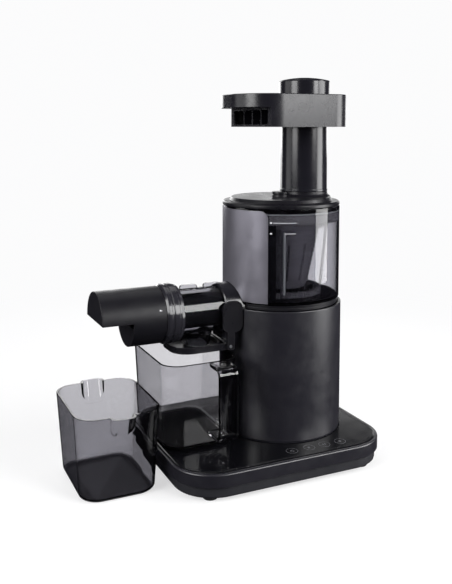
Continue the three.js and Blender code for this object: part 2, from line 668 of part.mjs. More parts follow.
// ---- bowl ----------------------------------------------------------------------------------------------
const PULP_PORT = { x: -(WIPER.sun + WIPER.ring) / 2, radius: 9 };
const bowlHole = () =>
  rodAlongX(SNOUT.tube - SNOUT.tubeWall, -BOWL_RADIUS - CUT, -WELL_RADIUS + 3 * WALL, SNOUT_Z);

function bowl() {
  const shell = turned([
    [BOWL.hub, WELL_BOTTOM],
    [WELL_RADIUS, WELL_BOTTOM],
    [WELL_RADIUS, BOWL_BOTTOM],
    [BOWL_RADIUS, BOWL_BOTTOM],
    [BOWL_RADIUS, BOWL_TOP],
    [BOWL_INNER, BOWL_TOP],
    [BOWL_INNER, BOWL_FLOOR],
    [BOWL.hub + PLAY, BOWL_FLOOR],
    [BOWL.hub + PLAY, BOWL_BOTTOM],
    [WELL_RADIUS - WALL, BOWL_BOTTOM],
    [WELL_RADIUS - WALL, WELL_BOTTOM + WALL],
    [BOWL.hub + WALL, WELL_BOTTOM + WALL],
    [BOWL.hub + WALL, WELL_BOTTOM + 4 * WALL],
    [BOWL.hub, WELL_BOTTOM + 4 * WALL],
  ]);
  const idlerPost = disc(3, BOWL_FLOOR - GAP, GEAR_PLANE + WIPER.thickness, { x: IDLER_X, facets: FINE_FACETS });
  const coverRecess = sector(
    BOWL_RADIUS - COVER.thickness - GAP,
    BOWL_RADIUS + CUT,
    BOWL_BOTTOM + COVER.bottomLip,
    BOWL_TOP + CUT,
    WINDOW.to,
    WINDOW.from + 360,
  );
  const pulpPort = disc(PULP_PORT.radius, BOWL_BOTTOM - CUT, BOWL_FLOOR + CUT, {
    x: PULP_PORT.x,
    facets: FINE_FACETS,
  });
  return cut(join(shell, idlerPost), coverRecess, pulpPort, bowlHole());
}

function bowlCover() {
  const shell = sector(
    BOWL_RADIUS - COVER.thickness,
    BOWL_RADIUS,
    BOWL_BOTTOM + COVER.bottomLip + GAP,
    BOWL_TOP - COVER.topInset,
    WINDOW.to + 0.5,
    WINDOW.from + 360 - 0.5,
  );
  return cut(shell, neckSlot(GAP, SNOUT_Z));
}

function strainerBasket() {
  const bottom = STRAINER.bottomRadius;
  const top = BOWL_INNER - STRAINER.topInset;
  const wall = STRAINER.wall;
  const z = STRAINER_BOTTOM;
  const rim = BOWL_INNER - PLAY;
  const shell = turned([
    [AUGER.core + 2, z],
    [bottom, z],
    [top, STRAINER_FLANGE],
    [rim, STRAINER_FLANGE],
    [rim, STRAINER_RIM],
    [rim - wall, STRAINER_RIM],
    [rim - wall, STRAINER_FLANGE + wall],
    [top - wall, STRAINER_FLANGE + wall],
    [bottom - wall, z + wall],
    [AUGER.core + 2, z + wall],
  ]);
  const slots = Array.from({ length: STRAINER.slots }, (_, i) => {
    const slot = new THREE.BoxGeometry(top, STRAINER.slotWidth, (STRAINER_FLANGE - z) * 0.55);
    slot.translate(AUGER.flight + top / 2 - 2, 0, z + (STRAINER_FLANGE - z) * 0.4);
    return solid(slot.rotateZ(((i + 0.5) * 2 * Math.PI) / STRAINER.slots));
  });
  return cut(shell, ...slots);
}

/** A ring gear that the idler turns, four sloping bars and a top ring. */
function wiperFrame() {
  const top = WIPER_TOP;
  const gearRadius = pitchRadius(WIPER.ring, WIPER.module) + 1.25 * WIPER.module + WALL;
  const topRadius = BOWL_INNER - WIPER.topInset;
  const gearTop = GEAR_PLANE + WIPER.thickness;
  const teeth = plate(toothed(WIPER.ring, WIPER.module, 0, TOOTH_SPACE), GEAR_PLANE - CUT, gearTop + CUT);
  const gear = cut(disc(gearRadius, GEAR_PLANE, gearTop), teeth);
  const topRing = ring(topRadius - WALL, topRadius, top - WIPER.ringHeight, top);
  const bars = [0, 1, 2, 3].map((i) => {
    const level = (radius, z) => raised(roundedOutline(radius - WALL, radius, -3, 3, 0.5, 1), z);
    const ends = [level(gearRadius, gearTop - PLAY), level(topRadius, top - WIPER.ringHeight + PLAY)];
    return loft(ends, WIPER.barAngle + i * 90);
  });
  return join(gear, topRing, ...bars);
}

/** A silicone strip on the outside of one of the frame's bars. */
function wiperBlade(turn) {
  const top = WIPER_TOP;
  const low = pitchRadius(WIPER.ring, WIPER.module) + 1.25 * WIPER.module + WALL + GAP;
  const high = BOWL_INNER - WIPER.topInset + GAP;
  const edge = BOWL_INNER - PLAY;
  const z0 = GEAR_PLANE + WIPER.thickness + 2;
  const z1 = top - WIPER.ringHeight - 2;
  const level = (inner, z) => raised(roundedOutline(inner, edge, -1, 1, 0.3, 1), z);
  return loft([level(low + 1, z0), level(high, z1)], WIPER.barAngle + turn);
}

function idlerGear() {
  const outline = toothed(WIPER.idler, WIPER.module, meshedPhase(0, WIPER.idler));
  const bottom = GEAR_PLANE;
  const top = bottom + WIPER.thickness;
  const bore = disc(3 + PLAY, bottom - CUT, top + CUT, { x: IDLER_X, facets: FINE_FACETS });
  return cut(plate(moved(outline, IDLER_X, 0), bottom, top), bore);
}

/** One blade wound up the screw's core, as a closed strip. */
function flight(bottom, top, innerAt, outerAt) {
  const turns = (top - bottom) / AUGER.pitch;
  const steps = Math.round(turns * FINE_FACETS);
  const sections = [];
  for (let i = 0; i <= steps; i += 1) {
    const share = i / steps;
    const angle = share * turns * 2 * Math.PI;
    const z = bottom + share * (top - bottom);
    const inner = innerAt(share);
    const outer = outerAt(share);
    const at = (radius, height) =>
      new THREE.Vector3(radius * Math.cos(angle), radius * Math.sin(angle), height);
    sections.push([
      at(inner, z - AUGER.blade / 2),
      at(outer, z - AUGER.blade / 4),
      at(outer, z + AUGER.blade / 4),
      at(inner, z + AUGER.blade / 2),
    ]);
  }
  const positions = [];
  const face = (...points) => points.forEach((p) => positions.push(p.x, p.y, p.z));
  for (let i = 1; i < sections.length; i += 1) {
    const back = sections[i - 1];
    const front = sections[i];
    for (let j = 0; j < 4; j += 1) {
      const k = (j + 1) % 4;
      face(back[j], front[j], front[k]);
      face(back[j], front[k], back[k]);
    }
  }
  const [first, last] = [sections[0], sections[sections.length - 1]];
  face(first[0], first[1], first[2]);
  face(first[0], first[2], first[3]);
  face(last[0], last[2], last[1]);
  face(last[0], last[3], last[2]);
  const geometry = new THREE.BufferGeometry();
  geometry.setAttribute("position", new THREE.Float32BufferAttribute(positions, 3));
  return solid(geometry);
}

function auger() {
  const gearTop = GEAR_PLANE + WIPER.thickness;
  const pinTop = BOSS_TOP - 3;
  const core = turned(
    [
      [0, WELL_BOTTOM + 1],
      [AUGER.hub, WELL_BOTTOM + 1],
      [AUGER.hub, gearTop],
      [AUGER.core, gearTop + PLAY],
      [AUGER.tipCore, AUGER_TOP - 8],
      [AUGER.pin + 1, AUGER_TOP],
      [AUGER.pin, AUGER_TOP],
      [AUGER.pin, pinTop],
      [0, pinTop],
    ],
    { facets: MEDIUM_FACETS },
  );
  const bottom = STRAINER_BOTTOM + STRAINER.wall + AUGER.blade;
  const blade = flight(
    bottom,
    AUGER_TOP - 10,
    (share) => THREE.MathUtils.lerp(AUGER.core, AUGER.tipCore, share) - 2,
    (share) => THREE.MathUtils.lerp(AUGER.flight, AUGER.tipFlight, share),
  );
  const gear = plate(toothed(WIPER.sun, WIPER.module, 0), GEAR_PLANE, gearTop);
  const socket = disc(SHAFT.radius + PLAY, WELL_BOTTOM, SHAFT_TIP + 2, { facets: 6 });
  return cut(join(core, gear, blade), socket);
}

add("bowl", bowl(), SMOKE);
add("bowl_cover", bowlCover(), COVER_SATIN);
add(
  "bowl_seal",
  ring(AUGER.hub + GAP, BOWL.hub + WALL, WELL_BOTTOM + 4 * WALL + GAP, WELL_BOTTOM + 4 * WALL + 3, {
    facets: FINE_FACETS,
  }),
  SILICONE,
);
add("strainer_basket", strainerBasket(), CLEAR);
add("wiper_frame", wiperFrame(), SMOKE);
add("wiper_blade_1", wiperBlade(90), SILICONE);
add("wiper_blade_2", wiperBlade(270), SILICONE);
add("idler_gear", idlerGear(), GREY_PLASTIC);
add("auger", auger(), DARK_PLASTIC);

// ---- outlet --------------------------------------------------------------------------------------------
function outletNeck() {
  const bore = SNOUT.tube - SNOUT.tubeWall;
  const inside = -WELL_RADIUS + 2 * WALL;
  const collar = rodAlongX(NECK_RADIUS, NECK_END, inside, SNOUT_Z);
  const webTop = SNOUT_Z - bore - GAP;
  const web = box(PIVOT.x - 2, -HOUSING.radius - 0.5, -NECK_RADIUS / 2, NECK_RADIUS / 2, PIVOT.z - 2, webTop);
  const bearingEnd = FLAP_HALF_WIDTH - FLAP.arm - PLAY;
  const bearing = rodAlongY(FLAP.boss, -bearingEnd, bearingEnd, PIVOT.x, PIVOT.z);
  const tubeSeat = rodAlongX(SNOUT.tube + GAP, NECK_END - 10, NECK_END, SNOUT_Z);
  return cut(
    join(collar, web, bearing),
    disc(WELL_RADIUS + GAP, FLAP_BOTTOM - CUT, SNOUT_Z + NECK_RADIUS + CUT),
    disc(BOWL_RADIUS + GAP, BOWL_BOTTOM - GAP, SNOUT_Z + NECK_RADIUS + CUT),
    rodAlongX(bore, NECK_END - CUT, inside + CUT, SNOUT_Z),
    rodAlongY(FLAP.pin + GAP, -BASE.width, BASE.width, PIVOT.x, PIVOT.z),
    tubeSeat,
  );
}

function snoutTube() {
  const start = NECK_END - GAP;
  const end = RING_END + 2;
  const pipe = pipeAlongX(SNOUT.tube - SNOUT.tubeWall, SNOUT.tube, end, start, SNOUT_Z);
  const fins = [start - FIN.length - 1, RING_START + 5].map((x) => {
    const top = SNOUT_Z + SNOUT.tube + FIN.height;
    const outline = roundedOutline(x, x + FIN.length, SNOUT_Z + SNOUT.tube - 3, top, [3, 3, 0.5, 0.5], 3);
    return upright(outline, -FIN.width / 2, FIN.width / 2);
  });
  const outlet = disc(SPOUT.outlet, SNOUT_Z - NECK_RADIUS, SNOUT_Z, { x: SPOUT_X, facets: FINE_FACETS });
  const bore = rodAlongX(SNOUT.tube - SNOUT.tubeWall, end - CUT, start + CUT, SNOUT_Z);
  return cut(join(pipe, ...fins), outlet, bore);
}

/** The inner drum that carries the pulp, with a long slot along its top. */
function pulpDrum() {
  const start = -WELL_RADIUS + 2 * WALL;
  const end = RING_END + 1;
  const slot = box(RING_START + 4, NECK_END - 4, -5, 5, SNOUT_Z, SNOUT_Z + NECK_RADIUS);
  return cut(pipeAlongX(DRUM_RADIUS - WALL, DRUM_RADIUS, end, start, SNOUT_Z), slot);
}

function juiceSpout() {
  const level = (margin, z) => {
    const halfX = SPOUT.length - margin;
    const halfY = SPOUT.width - margin;
    const radius = Math.min(halfX, halfY) - 1;
    return raised(roundedOutline(SPOUT_X - halfX, SPOUT_X + halfX, -halfY, halfY, radius), z);
  };
  const outer = loft([level(SPOUT.taper, SPOUT_BOTTOM), level(0, SPOUT_TOP)]);
  const inner = loft([level(SPOUT.taper + SPOUT.wall, SPOUT_BOTTOM - CUT), level(SPOUT.wall, SPOUT_TOP + CUT)]);
  return cut(outer, inner, rodAlongX(SNOUT.tube + GAP, RING_END, 0, SNOUT_Z));
}

function lockRing() {
  const edge = 2;
  const inner = SNOUT.tube + GAP;
  return turnedAlongX(
    [
      [inner, RING_END],
      [RING_RADIUS - edge, RING_END],
      [RING_RADIUS, RING_END + edge],
      [RING_RADIUS, RING_START - edge - GAP],
      [RING_RADIUS - edge, RING_START - GAP],
      [inner, RING_START - GAP],
    ],
    SNOUT_Z,
  );
}

/** A round nozzle: its lower half stops short, and its upper half runs on as a hood over the pulp bin. */
function pulpNozzle() {
  const start = RING_END - GAP;
  const wall = WALL;
  const radius = NOZZLE_RADIUS;
  const body = rodAlongX(radius, HOOD_END, start, SNOUT_Z);
  const bore = rodAlongX(radius - wall, HOOD_END + wall, start + CUT, SNOUT_Z);
  const below = [-radius - CUT, radius + CUT, SNOUT_Z - radius - CUT];
  const underHood = box(HOOD_END - CUT, NOZZLE_END, below[0], below[1], below[2], SNOUT_Z);
  const endWall = box(NOZZLE_END, NOZZLE_END + wall, -radius, radius, SNOUT_Z - radius, SNOUT_Z - 6);
  const endFace = endWall.intersect(rodAlongX(radius - GAP, HOOD_END, start, SNOUT_Z));
  return join(cut(body, bore, underHood), endFace);
}

/** The drip stop: a shallow cup under the spout, two arms to the pin, and a thumb paddle at the front. */
function dripFlap() {
  const top = FLAP_BOTTOM + FLAP.rim;
  const floor = FLAP_BOTTOM + FLAP.thickness;
  const half = FLAP_HALF_WIDTH;
  const cup = cut(
    plate(roundedOutline(FLAP_FAR, FLAP_NEAR, -half, half, FLAP.corner), FLAP_BOTTOM, top),
    plate(
      roundedOutline(FLAP_FAR + WALL, FLAP_NEAR - WALL, -half + WALL, half - WALL, FLAP.corner - WALL),
      floor,
      top + CUT,
    ),
  );
  const armOutline = roundedOutline(SPOUT_X, PIVOT.x + FLAP.boss, FLAP_BOTTOM, top, 3, 3);
  const arms = [-half, half - FLAP.arm].map((y) => upright(armOutline, y, y + FLAP.arm));
  const stemTop = PADDLE_Z - PADDLE.height / 2 + PADDLE.corner;
  const front = -Math.max(half, NECK_RADIUS + PLAY) - PADDLE.thickness + 1;
  const stem = upright(
    roundedOutline(PIVOT.x - FLAP.boss, PIVOT.x + FLAP.boss, FLAP_BOTTOM, stemTop, 3, 3),
    front,
    -half + FLAP.arm,
  );
  const paddle = upright(
    roundedOutline(
      PADDLE_X - PADDLE.width / 2,
      PADDLE_X + PADDLE.width / 2,
      PADDLE_Z - PADDLE.height / 2,
      PADDLE_Z + PADDLE.height / 2,
      PADDLE.corner,
      4,
    ),
    front,
    front + PADDLE.thickness - 1,
  );
  const pinHole = rodAlongY(FLAP.pin + GAP, -BASE.width, BASE.width, PIVOT.x, PIVOT.z);
  const tubeRoom = rodAlongX(NECK_RADIUS + PLAY, RING_START, 0, SNOUT_Z);
  return cut(join(cup, ...arms, stem, paddle), pinHole, tubeRoom);
}

add("outlet_neck", outletNeck(), GLOSS_BLACK);
add("snout_tube", snoutTube(), SMOKE);
add("pulp_drum", pulpDrum(), DARK_PLASTIC);
add("juice_spout", juiceSpout(), CLEAR);
add("lock_ring", lockRing(), SMOKE);
add("pulp_nozzle", pulpNozzle(), GLOSS_BLACK);
add("drip_flap", dripFlap(), GLOSS_BLACK);
add(
  "drip_seal",
  disc(SPOUT.outlet, FLAP_BOTTOM + FLAP.thickness + GAP, SPOUT_BOTTOM - GAP, {
    x: SPOUT_X,
    facets: FINE_FACETS,
  }),
  SILICONE,
);
add(
  "flap_pin",
  rodAlongY(FLAP.pin, -FLAP_HALF_WIDTH - 2, FLAP_HALF_WIDTH + 1, PIVOT.x, PIVOT.z),
  STEEL,
);

// ---- lid and hopper ------------------------------------------------------------------------------------
const onChute = { x: CHUTE.x, facets: MEDIUM_FACETS };

function lid() {
  const crown = LID_RADIUS - LID.crownInset;
  const skirt = BOWL_INNER - PLAY;
  const plateBody = turned([
    [0, LID_BOTTOM],
    [skirt - WALL, LID_BOTTOM],
    [skirt - WALL, LID_BOTTOM - LID.skirt],
    [skirt, LID_BOTTOM - LID.skirt],
    [skirt, LID_BOTTOM],
    [LID_RADIUS, LID_BOTTOM],
    [LID_RADIUS, LID_RIM - 1],
    [LID_RADIUS - 1, LID_RIM],
    [crown + 1, LID_RIM],
    [crown, LID_RIM + LID.crown],
    [0, LID_RIM + LID.crown],
  ]);
  const chuteBoss = turned(
    [
      [0, LID_RIM],
      [CHUTE_RADIUS + CHUTE.flare, LID_RIM],
      [CHUTE_RADIUS + CHUTE.flare, LID_RIM + LID.crown],
      [CHUTE_RADIUS, CHUTE_SEAT],
      [0, CHUTE_SEAT],
    ],
    onChute,
  );
  const pinBoss = disc(LID.boss, LID_RIM, BOSS_TOP, { facets: MEDIUM_FACETS });
  const pinBore = disc(AUGER.pin + 1.5 + GAP, LID_BOTTOM - CUT, BOSS_TOP - 2, { facets: FINE_FACETS });
  const bore = disc(CHUTE.bore, LID_BOTTOM - CUT, CHUTE_SEAT + CUT, onChute);
  return cut(join(plateBody, chuteBoss, pinBoss), bore, pinBore);
}

function feedTube() {
  const top = TRAY_FLOOR - GAP;
  return turned(
    [
      [CHUTE.bore, TUBE_BOTTOM],
      [CHUTE_RADIUS, TUBE_BOTTOM],
      [CHUTE.bore + CHUTE.topWall, top],
      [CHUTE.bore, top],
    ],
    onChute,
  );
}

const trayOutline = (inset) =>
  roundedOutline(
    TRAY.left + inset,
    TRAY.right - inset,
    -TRAY.halfWidth + inset,
    TRAY.halfWidth - inset,
    [TRAY.rightCorner, TRAY.leftCorner, TRAY.leftCorner, TRAY.rightCorner].map((radius) => radius - inset),
  );

/** A shallow dish with a deep hollow box under its right part; the box is open at its left end, with ribs. */
function hopperTray() {
  const wall = WALL;
  const dish = cut(
    plate(trayOutline(0), TRAY_FLOOR, TRAY_RIM),
    plate(trayOutline(wall), TRAY_FLOOR + wall, TRAY_RIM + CUT),
  );
  const rightPart = box(TRAY_BOX.left, TRAY.right + CUT, -BASE.width, BASE.width, BOX_BOTTOM - CUT, TRAY_RIM);
  const skirt = plate(trayOutline(0), BOX_BOTTOM, TRAY_FLOOR + GAP).intersect(rightPart);
  const hollow = plate(trayOutline(wall), BOX_BOTTOM + wall, TRAY_FLOOR).intersect(
    box(TRAY_BOX.left + wall, TRAY.right + CUT, -BASE.width, BASE.width, BOX_BOTTOM, TRAY_RIM),
  );
  const half = TRAY_BOX.halfOpening;
  const leftWall = [TRAY_BOX.left - CUT, TRAY_BOX.left + wall + CUT];
  const mouth = box(...leftWall, -half, half, BOX_BOTTOM + wall, TRAY_FLOOR - wall);
  const ribs = Array.from({ length: TRAY_BOX.ribs }, (_, i) => {
    const y = ((i + 1) / (TRAY_BOX.ribs + 1) - 0.5) * 2 * half;
    const x = TRAY_BOX.left + wall;
    const side = TRAY_BOX.rib / 2;
    return box(x, x + TRAY_BOX.ribLength, y - side, y + side, BOX_BOTTOM + wall / 2, TRAY_FLOOR + GAP);
  });
  const tubeHole = disc(CHUTE_RADIUS + GAP, BOX_BOTTOM - CUT, TRAY_FLOOR, onChute);
  const feedHole = disc(CHUTE.bore, TRAY_FLOOR - CUT, TRAY_FLOOR + wall + CUT, onChute);
  return cut(join(dish, cut(skirt, hollow, mouth), ...ribs), tubeHole, feedHole);
}

/** A cap that rests on the tray over a long cup that presses the food down the tube. */
function pusher() {
  const body = CHUTE.bore - PUSHER.play;
  const seat = TRAY_FLOOR + WALL + GAP;
  return turned(
    [
      [body - WALL, PUSHER_BOTTOM],
      [body, PUSHER_BOTTOM],
      [body, seat],
      [PUSHER_CAP - 1, seat],
      [PUSHER_CAP, seat + 1],
      [PUSHER_CAP, PUSHER_EDGE - 1],
      [PUSHER_CAP - 2, PUSHER_EDGE + 1],
      [PUSHER_CAP * 0.6, PUSHER_EDGE + PUSHER.crown * 0.85],
      [0, PUSHER_EDGE + PUSHER.crown],
      [0, seat],
      [body - WALL, seat],
    ],
    onChute,
  );
}

add("lid", lid(), GLOSS_BLACK);
add(
  "lid_seal",
  ring(BOWL_INNER - PLAY - WALL, BOWL_INNER - PLAY, LID_SEAL_TOP - LID.seal, LID_SEAL_TOP),
  SILICONE,
);
add(
  "auger_bush",
  ring(AUGER.pin + GAP, AUGER.pin + 1.5, LID_BOTTOM + 1, BOSS_TOP - 2 - GAP, { facets: FINE_FACETS }),
  BRASS,
);
add("feed_tube", feedTube(), GLOSS_BLACK);
add("hopper_tray", hopperTray(), GLOSS_BLACK);
add("pusher", pusher(), GLOSS_BLACK);

// ---- jug and bin ---------------------------------------------------------------------------------------
/** A box-shaped vessel that narrows downwards, with its inside as a second solid. */
function vessel({ x0, x1, y0, y1, bottom, top, draft, corner, wall }) {
  const level = (inset, z) =>
    raised(roundedOutline(x0 + inset, x1 - inset, y0 + inset, y1 - inset, corner - inset / 2), z);
  const slope = draft / (top - bottom);
  const inside = (z) => wall + slope * (top - z);
  return {
    outer: loft([level(draft + 2, bottom), level(draft, bottom + 2), level(0, top)]),
    inner: loft([level(inside(bottom + wall), bottom + wall), level(inside(top + CUT), top + CUT)]),
  };
}

function jug() {
  const bottom = DECK.top + GAP;
  const { outer, inner } = vessel({
    x0: JUG_LEFT,
    x1: JUG_RIGHT,
    y0: JUG.front,
    y1: JUG.back,
    bottom,
    top: JUG_TOP,
    draft: JUG.draft,
    corner: JUG.corner,
    wall: JUG.wall,
  });
  const half = HANDLE.width / 2;
  const front = JUG.front - HANDLE.reach;
  const back = JUG.front + JUG.draft + 1;
  const strap = (inset, deeper) => {
    const outline = roundedOutline(
      front + inset,
      back + deeper,
      HANDLE_BOTTOM + inset,
      JUG_TOP - inset,
      [0.5, HANDLE.corner - inset, HANDLE.corner - inset, 0.5],
      5,
    );
    const geometry = new THREE.ExtrudeGeometry(new THREE.Shape(outline), {
      depth: HANDLE.width + 2 * deeper,
      bevelEnabled: false,
    });
    geometry.rotateX(Math.PI / 2).rotateZ(Math.PI / 2);
    return solid(geometry.translate(HANDLE.x - half - deeper, 0, 0));
  };
  const loop = cut(strap(0, 0), strap(HANDLE.thickness, CUT).subtract(outer));
  return cut(join(outer, loop), inner);
}

function pulpBin() {
  const shape = { bottom: 0, top: BIN.height, draft: BIN.draft, corner: BIN.corner, wall: BIN.wall };
  const half = BIN.width / 2 - BIN.wall;
  const { outer, inner } = vessel({ x0: BIN_LEFT, x1: BIN_RIGHT, y0: -half, y1: half, ...shape });
  const x = (BIN_LEFT + BIN_RIGHT) / 2;
  const lips = (inset, over) =>
    [-1, 1].map((side) =>
      turned(
        [
          [0, BIN.height - BIN.lipDrop],
          [2, BIN.height - BIN.lipDrop],
          [BIN.lip - inset, BIN.height + over],
          [0, BIN.height + over],
        ],
        { x, y: side * (half - 4), facets: FINE_FACETS },
      ),
    );
  return cut(join(outer, ...lips(0, 0)), inner, ...lips(BIN.wall, CUT));
}

add("jug", jug(), SMOKE);
add("pulp_bin", pulpBin(), SMOKE);

export default juicer;
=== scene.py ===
import json
import math

import bmesh
import bpy
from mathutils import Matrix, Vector

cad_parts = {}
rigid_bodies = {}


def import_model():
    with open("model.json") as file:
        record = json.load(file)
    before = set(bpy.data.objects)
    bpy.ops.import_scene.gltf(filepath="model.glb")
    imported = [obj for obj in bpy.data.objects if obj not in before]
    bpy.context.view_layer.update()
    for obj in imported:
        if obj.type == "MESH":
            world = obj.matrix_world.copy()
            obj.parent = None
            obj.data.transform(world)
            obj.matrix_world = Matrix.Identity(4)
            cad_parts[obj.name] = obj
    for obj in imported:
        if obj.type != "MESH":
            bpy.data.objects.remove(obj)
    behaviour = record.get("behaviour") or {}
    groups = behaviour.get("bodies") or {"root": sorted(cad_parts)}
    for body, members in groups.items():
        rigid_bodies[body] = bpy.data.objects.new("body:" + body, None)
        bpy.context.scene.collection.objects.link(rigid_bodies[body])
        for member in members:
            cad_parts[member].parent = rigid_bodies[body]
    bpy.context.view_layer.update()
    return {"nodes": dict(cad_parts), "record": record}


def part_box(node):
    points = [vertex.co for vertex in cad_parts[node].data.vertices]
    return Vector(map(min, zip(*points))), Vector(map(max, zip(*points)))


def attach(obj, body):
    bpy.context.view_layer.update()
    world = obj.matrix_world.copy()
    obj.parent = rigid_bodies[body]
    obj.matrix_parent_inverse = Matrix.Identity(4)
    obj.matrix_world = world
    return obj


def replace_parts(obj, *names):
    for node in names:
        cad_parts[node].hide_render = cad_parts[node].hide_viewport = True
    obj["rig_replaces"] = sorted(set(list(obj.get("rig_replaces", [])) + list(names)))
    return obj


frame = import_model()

MM = 0.001
FINE = 128  # facets round a large circle
MEDIUM = 64
SMALL = 32
CUT = 1.0  # how far a cutter runs past the face that it opens
GAP = 0.3  # between pieces that touch
PLAY = 0.5  # between pieces that slide on each other
WALL = 2.5


# ---- camera, light and floor ---------------------------------------------------------------------------
SENSOR = 36.0  # millimetres, as is the lens
LENS = 47.0675
CAMERA_PLACE = (-0.33977, -0.7656, 0.37396)
CAMERA_TURN = -24.788
CAMERA_PITCH = 4.992
CAMERA_SHIFT = -0.17


def make_camera():
    data = bpy.data.cameras.new("camera")
    data.sensor_fit = "AUTO"
    data.sensor_width = SENSOR
    data.lens = LENS
    data.shift_y = CAMERA_SHIFT
    data.clip_start, data.clip_end = 0.01, 60
    camera = bpy.data.objects.new("camera", data)
    camera.location = CAMERA_PLACE
    camera.rotation_euler = (math.radians(90 - CAMERA_PITCH), 0, math.radians(CAMERA_TURN))
    bpy.context.scene.collection.objects.link(camera)
    bpy.context.scene.camera = camera


def softbox(name, azimuth, distance, height, size, watts, aim=(0.0, 0.0, 0.2)):
    """An area light; azimuth 0 stands in front of the object and 90 on its right."""
    data = bpy.data.lights.new(name, "AREA")
    data.shape = "RECTANGLE"
    data.size, data.size_y = size
    data.energy = watts
    light = bpy.data.objects.new(name, data)
    angle = math.radians(azimuth)
    light.location = (distance * math.sin(angle), -distance * math.cos(angle), height)
    light.rotation_euler = (Vector(aim) - light.location).to_track_quat("-Z", "Y").to_euler()
    light.visible_camera = False
    light.visible_transmission = False
    bpy.context.scene.collection.objects.link(light)


BACKDROP = (0.97, 0.97, 0.975, 1)  # what the camera sees behind the object
SURROUND = (0.022, 0.021, 0.027, 1)  # what the object mirrors
FLOOR_NEAR, FLOOR_FAR = 0.25, 0.9  # metres from the middle, between which the floor fades
FLOOR_GLOW = (0.62, 1.0)  # emission near the object and far from it
FLOOR_COLOUR = (0.40, 0.0)


def seen_straight(nodes, links):
    """1 for what the camera sees directly or through clear pieces, 0 in reflections."""
    ray = nodes.new("ShaderNodeLightPath")
    either = nodes.new("ShaderNodeMath")
    either.operation = "MAXIMUM"
    links.new(ray.outputs["Is Camera Ray"], either.inputs[0])
    links.new(ray.outputs["Is Transmission Ray"], either.inputs[1])
    straight = nodes.new("ShaderNodeMath")
    straight.operation = "LESS_THAN"
    straight.inputs[1].default_value = 0.5
    links.new(ray.outputs["Glossy Depth"], straight.inputs[0])
    both = nodes.new("ShaderNodeMath")
    both.operation = "MULTIPLY"
    links.new(either.outputs[0], both.inputs[0])
    links.new(straight.outputs[0], both.inputs[1])
    return both.outputs[0]


def make_world():
    """A pale backdrop for the camera and through clear pieces, and a dim studio in reflections."""
    world = bpy.data.worlds.new("studio")
    world.use_nodes = True
    bpy.context.scene.world = world
    nodes, links = world.node_tree.nodes, world.node_tree.links
    nodes.clear()
    pale = nodes.new("ShaderNodeBackground")
    pale.inputs["Color"].default_value = BACKDROP
    dim = nodes.new("ShaderNodeBackground")
    dim.inputs["Color"].default_value = SURROUND
    mix = nodes.new("ShaderNodeMixShader")
    links.new(seen_straight(nodes, links), mix.inputs[0])
    links.new(dim.outputs[0], mix.inputs[1])
    links.new(pale.outputs[0], mix.inputs[2])
    out = nodes.new("ShaderNodeOutputWorld")
    links.new(mix.outputs[0], out.inputs[0])


def make_floor():
    """Pale near the object, running out into the backdrop."""
    material = bpy.data.materials.new("floor")
    material.use_nodes = True
    nodes, links = material.node_tree.nodes, material.node_tree.links
    shader = nodes["Principled BSDF"]
    shader.inputs["Roughness"].default_value = 0.9
    shader.inputs["Specular IOR Level"].default_value = 0.0
    shader.inputs["Emission Color"].default_value = BACKDROP
    place = nodes.new("ShaderNodeTexCoord")
    length = nodes.new("ShaderNodeVectorMath")
    length.operation = "LENGTH"
    links.new(place.outputs["Object"], length.inputs[0])
    straight = seen_straight(nodes, links)
    for socket, (near, far) in (("Emission Strength", FLOOR_GLOW), ("Base Color", FLOOR_COLOUR)):
        ramp = nodes.new("ShaderNodeMapRange")
        ramp.interpolation_type = "SMOOTHSTEP"
        ramp.inputs["From Min"].default_value = FLOOR_NEAR
        ramp.inputs["From Max"].default_value = FLOOR_FAR
        ramp.inputs["To Min"].default_value = near
        ramp.inputs["To Max"].default_value = far
        links.new(length.outputs["Value"], ramp.inputs["Value"])
        shown = nodes.new("ShaderNodeMath")
        shown.operation = "MULTIPLY"
        links.new(ramp.outputs["Result"], shown.inputs[0])
        links.new(straight, shown.inputs[1])
        links.new(shown.outputs[0], shader.inputs[socket])
    mesh = bmesh.new()
    bmesh.ops.create_circle(mesh, cap_ends=True, radius=30.0, segments=96)
    data = bpy.data.meshes.new("floor")
    mesh.to_mesh(data)
    mesh.free()
    data.materials.append(material)
    floor = bpy.data.objects.new("floor", data)
    floor.visible_glossy = False
    floor.visible_diffuse = False
    bpy.context.scene.collection.objects.link(floor)


make_camera()
make_world()
make_floor()
softbox("light_right", azimuth=58, distance=1.7, height=0.65, size=(1.0, 1.7), watts=38)
softbox("light_front", azimuth=27, distance=1.7, height=0.87, size=(0.66, 1.0), watts=23)
softbox("light_left", azimuth=-75, distance=1.6, height=0.9, size=(0.9, 1.28), watts=29)
softbox("light_side", azimuth=-112, distance=1.5, height=0.6, size=(0.9, 1.1), watts=4.5)
softbox("light_rear", azimuth=178, distance=1.7, height=0.7, size=(0.8, 1.2), watts=8)
softbox("light_top", azimuth=170, distance=0.7, height=1.7, size=(1.5, 1.2), watts=6)
softbox("light_back", azimuth=151, distance=1.5, height=0.42, size=(2.2, 0.26), watts=3.8,
        aim=(0.0, 0.0, 0.42))
bpy.context.scene.view_settings.view_transform = "Standard"


# ---- materials -----------------------------------------------------------------------------------------
def noise(nodes, links, place, scale, detail=3.0):
    texture = nodes.new("ShaderNodeTexNoise")
    texture.inputs["Scale"].default_value = scale
    texture.inputs["Detail"].default_value = detail
    links.new(place, texture.inputs["Vector"])
    return texture.outputs["Fac"]


def map_range(nodes, links, value, start, end, low, high):
    ramp = nodes.new("ShaderNodeMapRange")
    for socket, number in (("From Min", start), ("From Max", end), ("To Min", low), ("To Max", high)):
        ramp.inputs[socket].default_value = number
    links.new(value, ramp.inputs["Value"])
    return ramp.outputs["Result"]


